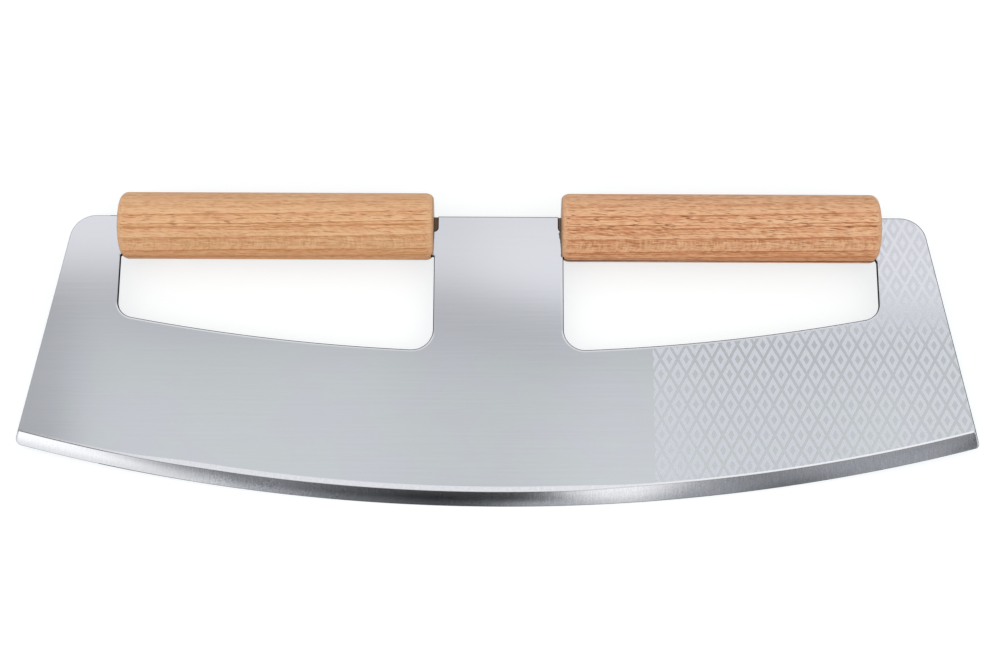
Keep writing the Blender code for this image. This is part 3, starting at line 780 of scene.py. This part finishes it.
def build_slip(name, span, slimming, rise, z_low, z_high, material):
    """What closes a handle's slot below the tang: a strip whose lower side follows the round.

    It stops near each end, where the handle's rounding comes up to the tang.
    """
    x, radius = handle_profile(*span, slimming)
    top = rise - TANG_DROP - TANG_HEIGHT - SLIP_ROOM
    kept = slimming - radius < top - SLIP_LEAST
    x, radius = x[kept, None], radius[kept, None]
    z = np.linspace(z_low, z_high, SLIP_POINTS)
    low = slimming - np.sqrt((radius - SLIP_SINK) ** 2 - z**2)
    y = np.concatenate([low, np.full((len(x), 2), top)], axis=1)
    z = np.broadcast_to(np.append(z, (z_high, z_low)), y.shape)
    points = np.stack([np.broadcast_to(x, y.shape), y, z], axis=2)
    slip = mesh_object(name, points.reshape(-1, 3), tube_faces(*y.shape, True), [material])
    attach(slip, "root")


def build_bead(name, side, handle_x, width, glue):
    """A thin dark bead where a handle's inner end stands on the face: painted shade for the gap there, in the
    glue's colour.

    It is a quarter round, narrowing downwards from the notch, carried down the face. The product of
    two sine waves makes its width a little uneven.
    """
    y = np.linspace(-TANG_DROP - BEAD_TOP_GAP, BEAD_FOOT_GAP - TANG_DROP - TANG_HEIGHT, BEAD_PLACES)[:, None]
    narrowing = smooth_step(0, BEAD_NARROW_AT, np.linspace(0, 1, len(y)))[:, None]
    wave = np.sin(y * BEAD_WAVES[0]) * np.sin(y * BEAD_WAVES[1] + 1)
    wide = width * (1 - BEAD_NARROWING * narrowing) * (1 + BEAD_WOBBLE * wave)
    turn = quarter(BEAD_ROUND_POINTS)
    x = side * (handle_x - wide * np.append(np.cos(turn), 0))
    z = HALF + wide * np.append(np.sin(turn), 0) * BEAD_SLENDER
    points = np.stack([x, np.broadcast_to(y, x.shape), z], axis=2)
    bead = mesh_object(name, points.reshape(-1, 3), tube_faces(*x.shape, side > 0), [glue])
    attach(bead, "root")


def build_pin(name, node, x, slimming, steel):
    """The end of a pin at the handle's back: rings of points on a round a hair wider than the handle."""
    angle = np.linspace(0, 2 * np.pi, PIN_POINTS, endpoint=False)
    share, sink = np.array(PIN_RINGS).T[:, :, None]
    x = x + PIN_RADIUS * share * np.cos(angle)
    y = -PIN_DROP + PIN_RADIUS * share * np.sin(angle)
    z = -np.sqrt((HANDLE_RADIUS - slimming + PIN_PROUD - sink) ** 2 - (y - slimming) ** 2)
    rings = np.stack([x, y, z], axis=2)
    points = np.concatenate([rings, rings[-1:] + (0, 0, PIN_DEPTH)])
    pin = mesh_object(name, points.reshape(-1, 3), tube_faces(*points.shape[:2], False), [steel])
    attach(pin, "root")
    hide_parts(node)


# Materials


class Socket:
    """A shader socket that can be reckoned with: + - * / make Math nodes, on either side of a number."""

    def __init__(self, tree, link):
        self.tree = tree
        self.link = link

    def math(self, operation, *others):
        return self.tree.node("ShaderNodeMath", {"operation": operation}, (self, *others))

    def __add__(self, other):
        return self.math("ADD", other)

    def __mul__(self, other):
        return self.math("MULTIPLY", other)

    def __sub__(self, other):
        return self.math("SUBTRACT", other)

    def __rsub__(self, other):
        return self.tree.node("ShaderNodeMath", {"operation": "SUBTRACT"}, (other, self))

    def __truediv__(self, other):
        return self.math("DIVIDE", other)

    __radd__ = __add__
    __rmul__ = __mul__


class Shading:
    """A node tree of a material or a world, and short ways to add to it."""

    def __init__(self, owner):
        self.owner = owner
        owner.use_nodes = True
        self.nodes = owner.node_tree.nodes
        self.links = owner.node_tree.links
        self.nodes.clear()

    def node(self, kind, settings=None, values=(), output=0):
        """Adds a node: its settings first, then its inputs, by place or by name."""
        made = self.nodes.new(kind)
        for key, value in (settings or {}).items():
            setattr(made, key, value)
        items = values.items() if isinstance(values, dict) else enumerate(values)
        for key, value in items:
            if isinstance(value, Socket):
                self.links.new(value.link, made.inputs[key])
            elif value is not None:
                made.inputs[key].default_value = value
        return Socket(self, made.outputs[output]) if made.outputs else None

    def blade_place(self):
        """Object coordinates turned into the blade's own axes, in millimetres, as a vector."""
        coordinates = self.node("ShaderNodeTexCoord", output="Object")
        lie = {"Location": AXIS_PLACE, "Rotation": (TILT, 0, 0), "Scale": (MM, MM, MM)}
        return self.node("ShaderNodeMapping", {"vector_type": "TEXTURE"}, {"Vector": coordinates, **lie})

    def split(self, vector):
        """The three parts of a vector."""
        made = self.nodes.new("ShaderNodeSeparateXYZ")
        self.links.new(vector.link, made.inputs[0])
        return [Socket(self, output) for output in made.outputs]

    def joined(self, x, y, z):
        return self.node("ShaderNodeCombineXYZ", None, (x, y, z))

    def scaled(self, vector, scale):
        return self.node("ShaderNodeVectorMath", {"operation": "MULTIPLY"}, (vector, scale))

    def noise(self, vector, scale, detail, roughness, distortion=0.0):
        """Noise from 0 to 1 whose scale is given along X, Y and Z, in waves per millimetre."""
        place = {"Vector": self.scaled(vector, scale), "Scale": 1.0}
        look = {"Detail": detail, "Roughness": roughness, "Distortion": distortion}
        return self.node("ShaderNodeTexNoise", None, {**place, **look})

    def range(self, value, low, high, to_low=0.0, to_high=1.0, smooth=True):
        """A value taken from one range to another, held at both ends."""
        settings = {"interpolation_type": "SMOOTHSTEP" if smooth else "LINEAR", "clamp": True}
        ends = {"From Min": low, "From Max": high, "To Min": to_low, "To Max": to_high}
        return self.node("ShaderNodeMapRange", settings, {"Value": value, **ends})

    def mix(self, factor, first, second):
        """Two colours mixed. A colour is three numbers or a socket."""
        first, second = (c if isinstance(c, Socket) else (*c, 1) for c in (first, second))
        made = self.nodes.new("ShaderNodeMix")
        made.data_type = "RGBA"
        for place, value in ((0, factor), (6, first), (7, second)):
            if isinstance(value, Socket):
                self.links.new(value.link, made.inputs[place])
            else:
                made.inputs[place].default_value = value
        return Socket(self, made.outputs[2])

    def shade(self, colour, amount):
        """A colour made lighter or darker by a factor that is a socket."""
        return self.scaled(colour, self.joined(amount, amount, amount))

    def profile(self, value, stops, top=1.0, bottom=0.0):
        """A curve through (value, height) pairs, straight between them, held at both ends."""
        low, high = stops[0][0], stops[-1][0]
        placed = []
        for place, height in stops:
            grey = (height - bottom) / (top - bottom)
            placed.append(((place - low) / (high - low), (grey, grey, grey)))
        share = self.range(value, low, high, smooth=False)
        return self.ramp(share, placed) * (top - bottom) + bottom

    def ramp(self, share, stops):
        """A colour ramp over 0 to 1."""
        made = self.nodes.new("ShaderNodeValToRGB")
        elements = made.color_ramp.elements
        elements.remove(elements[-1])
        elements[0].position = stops[0][0]
        elements[0].color = (*stops[0][1], 1)
        for place, colour in stops[1:]:
            elements.new(place).color = (*colour, 1)
        self.links.new(share.link, made.inputs[0])
        return Socket(self, made.outputs["Color"])

    def bump(self, height, distance):
        return self.node("ShaderNodeBump", None, {"Height": height, "Distance": distance}, output="Normal")

    def surface(self, **values):
        """The Principled shader and the output. Gives back the finished material."""
        inputs = {key.replace("_", " "): value for key, value in values.items()}
        shader = self.node("ShaderNodeBsdfPrincipled", None, inputs)
        self.node("ShaderNodeOutputMaterial", None, {"Surface": shader})
        return self.owner


def varied(noise, base, share):
    """A value that follows a noise: its base, plus a share of the noise."""
    return base + share * noise


def etched_lattice(tree, x, y):
    """A lattice of lozenges, each with a plain lozenge left in its middle: 1 where it is etched.

    With u and v as the shares along the two families of slanting lines, a point's place in its cell
    is the greater of its distances from the cell's middle by u and by v. The etched part is a band
    of that distance.
    """
    along, up = x / LATTICE_WIDTH, y / LATTICE_HEIGHT
    shares = (along + up + LATTICE_SHIFT, along - up + LATTICE_SHIFT)
    by_u, by_v = ((share.math("FRACT") - HALF_CELL).math("ABSOLUTE") for share in shares)
    reach = by_u.math("MAXIMUM", by_v)
    outer = HALF_CELL - LATTICE_GAP
    band = tree.range(reach, outer - LATTICE_BLUR, outer + LATTICE_BLUR, 1, 0)
    return band * tree.range(reach, LATTICE_HEART - LATTICE_BLUR, LATTICE_HEART + LATTICE_BLUR)


def brushed_face():
    """Stainless sheet brushed along its length, with an etched lattice on the right of the front.

    The etching is worn towards the lower right, uneven like the clouds in the steel, and a little
    fainter beside the opening. Below that opening the steel is slightly darker.
    """
    tree = Shading(bpy.data.materials.new("brushed_stainless_face"))
    place = tree.blade_place()
    x, y, z = tree.split(place)
    kinds = (FINE_BRUSHING, BRUSH_STREAKS, STEEL_CLOUDS)
    fine, streak, cloud = (tree.noise(place, *kind) for kind in kinds)
    on_front = tree.range(z, *FRONT_ONLY)

    worn = tree.range(x, *WORN_BY_X) * tree.range(y, *WORN_BY_Y)
    depth = (1 - MOST_WORN * worn) * tree.range(cloud, *DEPTH_BY_CLOUD) * tree.range(y, *DEPTH_BY_Y)
    etched = etched_lattice(tree, x, y) * tree.range(x, *ETCHED_FROM) * on_front * depth
    grey = tree.range(x, *GREY_FROM_X) * tree.range(x, *GREY_TO_X) * tree.range(y, *GREY_BY_Y) * on_front

    hue = tree.range(cloud, *HUE_BY_CLOUD) * tree.range(x, *HUE_BY_X) * tree.range(y, *HUE_BY_Y)
    tone = varied(fine, *FACE_TONE[:2]) + FACE_TONE[2] * streak
    colour = tree.shade(tree.mix(hue, STEEL_BLUISH, STEEL_GREENISH), tone * (1 - GREY * grey))
    colour = tree.mix(etched, colour, ETCHED_STEEL)
    roughness = varied(fine, *FACE_ROUGHNESS[:2]) + FACE_ROUGHNESS[2] * streak + etched * ETCHED_ROUGHNESS
    bump = tree.bump(fine * (1 - etched), BRUSHING_DEPTH)
    return tree.surface(Base_Color=colour, Metallic=1.0, Roughness=roughness, Normal=bump)


def bevel_grain(tree, place, x):
    """The wheel's marks, and its grain: those marks and a speckle, coarser in pitted patches."""
    kinds = (BEVEL_MARKS, BEVEL_SPECKLE, BEVEL_PATCHES)
    marks, speckle, patches = (tree.noise(place, *kind) for kind in kinds)
    pitted = tree.range(patches, *PITTED_BY_PATCH) * tree.range(x, *PITTED_FROM_X)
    pitted = pitted * tree.range(x, *PITTED_TO_X)
    speckled = (speckle - NOISE_MEAN) * varied(pitted, SPECKLE_SHARE, PITS_SHARE)
    grain = (marks - NOISE_MEAN) * MARKS_SHARE + speckled
    return marks, grain * tree.range(x, *CALM_LEFT_END)


def below_shoulder(tree, x, y):
    """How far below the bevel's shoulder a point lies, in millimetres, as bevel_height() has it."""
    drop = y - (EDGE_RADIUS - EDGE_DROP) / MM
    height = EDGE_RADIUS / MM - (x * x + drop * drop).math("SQRT")
    wide = tree.range(x, (STRIP_FROM - STRIP_FADE) / MM, (STRIP_FROM + STRIP_FADE) / MM)
    wide = wide * tree.range(x, (STRIP_TO - STRIP_FADE) / MM, (STRIP_TO + STRIP_FADE) / MM, 1, 0)
    narrow_top, wide_top = (bevel_top(width) / MM for width in (STRIP_END_WIDTH, STRIP_WIDTH))
    lower = LEFT_DROP / MM * tree.range(x, LEFT_DROP_FROM / MM, LEFT_DROP_TO / MM, 1, 0)
    return narrow_top + (wide_top - narrow_top) * wide - lower - height


def ground_bevel():
    """The bevel, ground with a fine wheel, whose marks run from the shoulder to the edge.

    A thin line of painted shade just below the shoulder darkens it, strongest at the left end.
    """
    tree = Shading(bpy.data.materials.new("ground_bevel"))
    place = tree.blade_place()
    x, y, _ = tree.split(place)
    marks, grain = bevel_grain(tree, place, x)
    # painted shade along the shoulder
    line = tree.range(below_shoulder(tree, x, y), *SHOULDER_SHADE) * tree.range(x, *SHOULDER_SHADE_BY_X)
    colour = tree.shade(BEVEL_STEEL, varied(grain, *BEVEL_TONE) * (1 - line))
    bump = tree.bump(grain, BEVEL_DEPTH)
    roughness = varied(marks, *BEVEL_ROUGHNESS)
    return tree.surface(Base_Color=colour, Metallic=1.0, Roughness=roughness, Normal=bump)


def polished_strip():
    """The narrow strip above the bevel, buffed bright."""
    tree = Shading(bpy.data.materials.new("polished_strip"))
    marks = tree.noise(tree.blade_place(), *STRIP_MARKS)
    colour = tree.shade(STRIP_STEEL, varied(marks, *STRIP_TONE))
    bump = tree.bump(marks, STRIP_DEPTH)
    roughness = varied(marks, *STRIP_ROUGHNESS)
    return tree.surface(Base_Color=colour, Metallic=1.0, Roughness=roughness, Normal=bump)


def cut_side(name, steel, tint):
    """A cut side of the sheet: duller than its faces, with marks across the thickness."""
    tree = Shading(bpy.data.materials.new(name))
    grain = tree.noise(tree.blade_place(), *SIDE_GRAIN)
    colour = tree.shade(steel, varied(grain, *SIDE_TONE))
    roughness = varied(grain, *SIDE_ROUGHNESS)
    return tree.surface(Base_Color=colour, Metallic=1.0, Roughness=roughness, Specular_Tint=(*tint, 1))


def beech_figure(tree, x, y, z, contrast):
    """The wood's figure: its place across the rings, and its darkness, vessels, flames, fibres and mottle.

    The growth rings are sheets that lie across one direction of the section. Their darkness goes by
    the place along that direction, which noise bends a little. Vessels are short dashes along the
    grain, and the rays show as a mottled band where the surface runs along the rings' direction.
    """
    across = y * math.cos(RING_TURN) + z * math.sin(RING_TURN)
    beside = z * math.cos(RING_TURN) - y * math.sin(RING_TURN)
    grain = tree.joined(x, across, beside)
    bend = BEND_REACH * tree.noise(grain, *RING_BEND) + RIPPLE_REACH * tree.noise(grain, *RING_RIPPLE)
    ring = across - RING_SLANT * x + bend - RING_SHIFT
    fibre, mottle, flame = (tree.noise(grain, *kind) for kind in (FIBRES, MOTTLE, FLAMES))

    slanted = tree.joined(x, across + VESSEL_SLANT * x, beside)
    pores = tree.noise(slanted, *PORES)
    vessels = tree.range(tree.noise(slanted, *VESSEL_DASHES), *VESSEL_SPAN) * tree.profile(ring, VESSELS)
    from_middle = across + RAY_MIDDLE
    curled = tree.joined(x + RAY_CURL * from_middle * from_middle, across, beside)
    fleck = (tree.noise(curled, *RAY_FLECKS) - NOISE_MEAN) * tree.profile(ring, FLECKS, MOST_FLECKED)

    grains = MOTTLE_SHARE * (mottle - NOISE_MEAN) + FIBRE_SHARE * (fibre - NOISE_MEAN)
    grains = grains + PORE_SHARE * (pores - NOISE_MEAN) + FLECK_SHARE * fleck
    darkness = tree.profile(ring, RINGS, MOST_DARK, LEAST_DARK) + contrast * grains
    return across, darkness, vessels, flame, fibre, mottle


def beech(name, centre_x, half_length, contrast, light, middle, dark):
    """Turned beech, worked out through the whole solid, paler on the rounding at a handle's ends."""
    tree = Shading(bpy.data.materials.new(name))
    x, y, z = tree.split(tree.blade_place())
    x = x - centre_x
    across, darkness, vessels, flame, fibre, mottle = beech_figure(tree, x, y, z, contrast)
    colour = tree.ramp(darkness, ((0, light), (MIDDLE_DARK, middle), (1, dark)))
    colour = tree.mix(tree.range(flame, *FLAME_SPAN), colour, FLAME_RED)
    colour = tree.mix(vessels * (VESSEL_GAIN * contrast - VESSEL_LOSS), colour, VESSEL_BROWN)
    # painted light: the lower part is made warmer and redder
    colour = tree.mix(tree.range(across, *PAINTED_UNDERSIDE), colour, tree.scaled(colour, PAINTED_UNDERSIDE_TINT))
    from_end = half_length - x.math("ABSOLUTE")
    from_axis = (y * y + z * z).math("SQRT")
    colour = tree.mix(tree.range(from_end, *PALE_END), colour, light)
    # painted shade: a dark line round each end, where the rounding turns away from the light
    end_shade = tree.range(from_end, *END_SHADE) * tree.range(from_axis, *END_SHADE_FROM_AXIS)
    colour = tree.mix(end_shade, colour, END_SHADE_BROWN)
    bump = tree.bump(fibre - VESSEL_SHARE * vessels, BEECH_DEPTH)
    roughness = varied(mottle, *BEECH_ROUGHNESS)
    return tree.surface(Base_Color=colour, Roughness=roughness, Normal=bump, Specular_IOR_Level=BEECH_SHEEN)


def plain(name, colour, metallic, roughness):
    """One colour with a slight grain: the glue, and the ends of the pins."""
    tree = Shading(bpy.data.materials.new(name))
    grain = tree.noise(tree.blade_place(), *PLAIN_GRAIN)
    shaded = tree.shade(colour, varied(grain, *PLAIN_TONE))
    roughness = varied(grain, roughness, PLAIN_VARIATION)
    return tree.surface(Base_Color=shaded, Metallic=metallic, Roughness=roughness)


# Camera and studio


def look_from_front():
    """The camera, in line with the photograph's view."""
    data = bpy.data.cameras.new("photo_view")
    data.lens = LENS
    data.sensor_width = SENSOR_WIDTH
    camera = bpy.data.objects.new("photo_view", data)
    bpy.context.scene.collection.objects.link(camera)
    turn = LYING.to_3x3()
    back = turn @ Vector((0, -math.sin(VIEW_ANGLE), math.cos(VIEW_ANGLE)))
    up = turn @ Vector((0, math.cos(VIEW_ANGLE), math.sin(VIEW_ANGLE)))
    up = up * math.cos(ROLL) - Vector((1, 0, 0)) * math.sin(ROLL)
    axes = Matrix((up.cross(back), up, back)).transposed().to_4x4()
    camera.matrix_world = Matrix.Translation(LYING @ AIM + back * CAMERA_DISTANCE) @ axes
    bpy.context.scene.camera = camera


def faded(tree, first, second, value, span):
    """One value that gives way to another as a third passes through a span."""
    return first + (second - first) * tree.range(value, *span)


def face_sky(tree, across, along):
    """What the flat face mirrors: brightness by along, and factors for its ends and for the strut."""
    face = tree.profile(along + tree.profile(across, FACE_LEAN, 1, -1), FACE_SKY, MOST_BRIGHT)
    low_side, side, top_side = (tree.profile(across, stops) for stops in (LOW_SIDES, MIDDLE_SIDES, TOP_SIDES))
    side = faded(tree, low_side, side, along, SIDES_TO_MIDDLE)
    side = faded(tree, side, top_side, along, SIDES_TO_TOP)
    glow = tree.range(along, *GLOW_FROM) * tree.range(along, *GLOW_TO) * tree.range(across, *GLOW_ACROSS)
    on_strut = tree.range(across.math("ABSOLUTE"), *STRUT_ACROSS)
    strut = on_strut * tree.profile(along, STRUT_SKY, MOST_STRUT, -MOST_STRUT)
    return face * side * (1 + GLOW * glow) * (1 + strut)


def ground_sky(tree, across, level):
    """What the bevel mirrors, in three levels, and above it what the polished strip mirrors."""
    tables = (LOW_BEVEL, MIDDLE_BEVEL, HIGH_BEVEL, STRIP_SKY)
    low, middle, high, strip = (tree.profile(across, stops, MOST_BRIGHT) for stops in tables)
    bevel = faded(tree, low, middle, level, LOW_TO_MIDDLE)
    bevel = faded(tree, bevel, high, level, MIDDLE_TO_HIGH)
    return faded(tree, bevel, strip, level, BEVEL_TO_STRIP)


def sky(tree):
    """The studio as the knife mirrors it: brightness by direction.

    across and along are the angles, in degrees, by which a direction leans from straight up, towards
    +X and towards +Y. The flat face mirrors the part with along from 5 to 14, the polished strip what is
    nearly overhead, and the bevel a band leaning the other way, whose levels curve with across. All
    else only lights the knife.
    """
    x, y, z = tree.split(tree.node("ShaderNodeTexCoord", output="Generated"))
    across = x.math("ARCTAN2", z) * math.degrees(1)
    along = y.math("ARCTAN2", z) * math.degrees(1)
    level = along - LEVEL_CURVE * across * across
    near = faded(tree, ground_sky(tree, across, level), face_sky(tree, across, along), along, STRIP_TO_FACE)
    far = tree.profile(y, FAR_SKY, MOST_BRIGHT) * tree.profile(z, HIGH_SKY)
    lean = (across * across + along * along).math("SQRT")
    is_near = tree.range(lean, *NEAR_LEAN)
    warm = tree.range(along, *WARM_FROM) * is_near
    cool = tree.range(near, *COOL_WHERE_DARK) * tree.range(level, *COOL_BELOW) * is_near
    tint = tree.mix(cool, tree.mix(warm, (1, 1, 1), TOP_TINT), DARK_TINT)
    return tint, far + (near - far) * is_near


def floor_white():
    """A white floor. Seen directly or mirrored it glows as well, but its glow lights nothing."""
    tree = Shading(bpy.data.materials.new("white_floor"))
    diffuse = tree.node("ShaderNodeBsdfDiffuse", None, {"Color": (*FLOOR_WHITE, 1)})
    glow = tree.node("ShaderNodeEmission", None, {"Color": (*FLOOR_GLOW, 1), "Strength": 1.0})
    both = tree.node("ShaderNodeAddShader", None, (diffuse, glow))
    path = tree.nodes.new("ShaderNodeLightPath")
    direct, glossy = (Socket(tree, path.outputs[name]) for name in ("Is Camera Ray", "Is Glossy Ray"))
    mixed = tree.node("ShaderNodeMixShader", None, (direct.math("MAXIMUM", glossy), diffuse, both))
    tree.node("ShaderNodeOutputMaterial", None, {"Surface": mixed})
    return tree.owner


def studio():
    """Soft light from above, and a white floor that keeps the knife's shadow."""
    world = bpy.data.worlds.new("studio")
    bpy.context.scene.world = world
    tree = Shading(world)
    tint, light = sky(tree)
    mirrored = tree.node("ShaderNodeBackground", None, {"Color": tint, "Strength": light})
    backdrop = tree.node("ShaderNodeBackground", None, {"Color": (1, 1, 1, 1), "Strength": 1.0})
    seen = tree.node("ShaderNodeLightPath", output="Is Camera Ray")
    both = tree.node("ShaderNodeMixShader", None, (seen, mirrored, backdrop))
    tree.node("ShaderNodeOutputWorld", None, {"Surface": both})

    corners = [(-1, -1, 0), (1, -1, 0), (1, 1, 0), (-1, 1, 0)]
    mesh = bpy.data.meshes.new("floor")
    mesh.from_pydata([Vector(corner) * FLOOR_REACH for corner in corners], [], [(0, 1, 2, 3)])
    mesh.materials.append(floor_white())
    floor = bpy.data.objects.new("floor", mesh)
    bpy.context.scene.collection.objects.link(floor)


def build_side(name, direction, pin_steel):
    """The left or the right handle, with what closes its slot, its glue and its pins."""
    inner_x, outer_x = HANDLE_SPANS[name]
    span = (direction * inner_x, direction * outer_x)
    slim, rise = HANDLE_SLIMMING[name], TANG_RISE[name]
    centre, half_length = sum(span) / 2 / MM, (outer_x - inner_x) / 2 / MM
    wood = beech(f"{name}_beech", centre, half_length, *BEECH_TONES[name])
    glue = plain(f"{name}_glue", GLUE_COLOURS[name], 0.0, GLUE_ROUGHNESS)
    build_handle(f"{name}_beech_handle", f"{name}_handle", span, slim, wood)
    wood_from = -SLIP_SIDE if name == "left" else SEAM_SIDE
    build_slip(f"{name}_slot_slip", span, slim, rise, wood_from, SLIP_SIDE, wood)
    if name == "right":
        # painted shade: a dark seam along the slot's mouth, below the wooden slip
        seam_shade = plain("right_seam_shade", SEAM_SHADE_COLOUR, 0.0, SEAM_ROUGHNESS)
        build_slip("right_slot_shade_seam", span, slim, rise, -SLIP_SIDE, SEAM_SIDE, seam_shade)
    notch = glue_outline(inner_x, outer_x)
    build_glue(f"{name}_notch_glue", f"{name}_glue", notch if direction > 0 else flipped(notch), glue)
    # painted shade: a dark bead beside the handle's inner end
    build_bead(f"{name}_shade_bead", direction, inner_x, BEAD_WIDTHS[name], glue)
    for where, x in (("inner", HANDLE_INNER_X + PIN_INSET), ("outer", HANDLE_OUTER_X - PIN_INSET)):
        build_pin(f"{name}_{where}_pin_end", f"{name}_{where}_pin", direction * x, slim, pin_steel)


def main():
    # the shaded cut side is painted shade, the unshaded one plain steel
    shaded_side, unshaded_side = (cut_side(name, *tones) for name, tones in SIDE_TONES.items())
    build_blade([brushed_face(), ground_bevel(), shaded_side, polished_strip(), unshaded_side])
    pin_steel = plain("pin_steel", PIN_COLOUR, 1.0, PIN_ROUGHNESS)
    build_side("left", -1, pin_steel)
    build_side("right", 1, pin_steel)
    look_from_front()
    studio()
    bpy.context.scene.view_settings.view_transform = "Standard"


main()
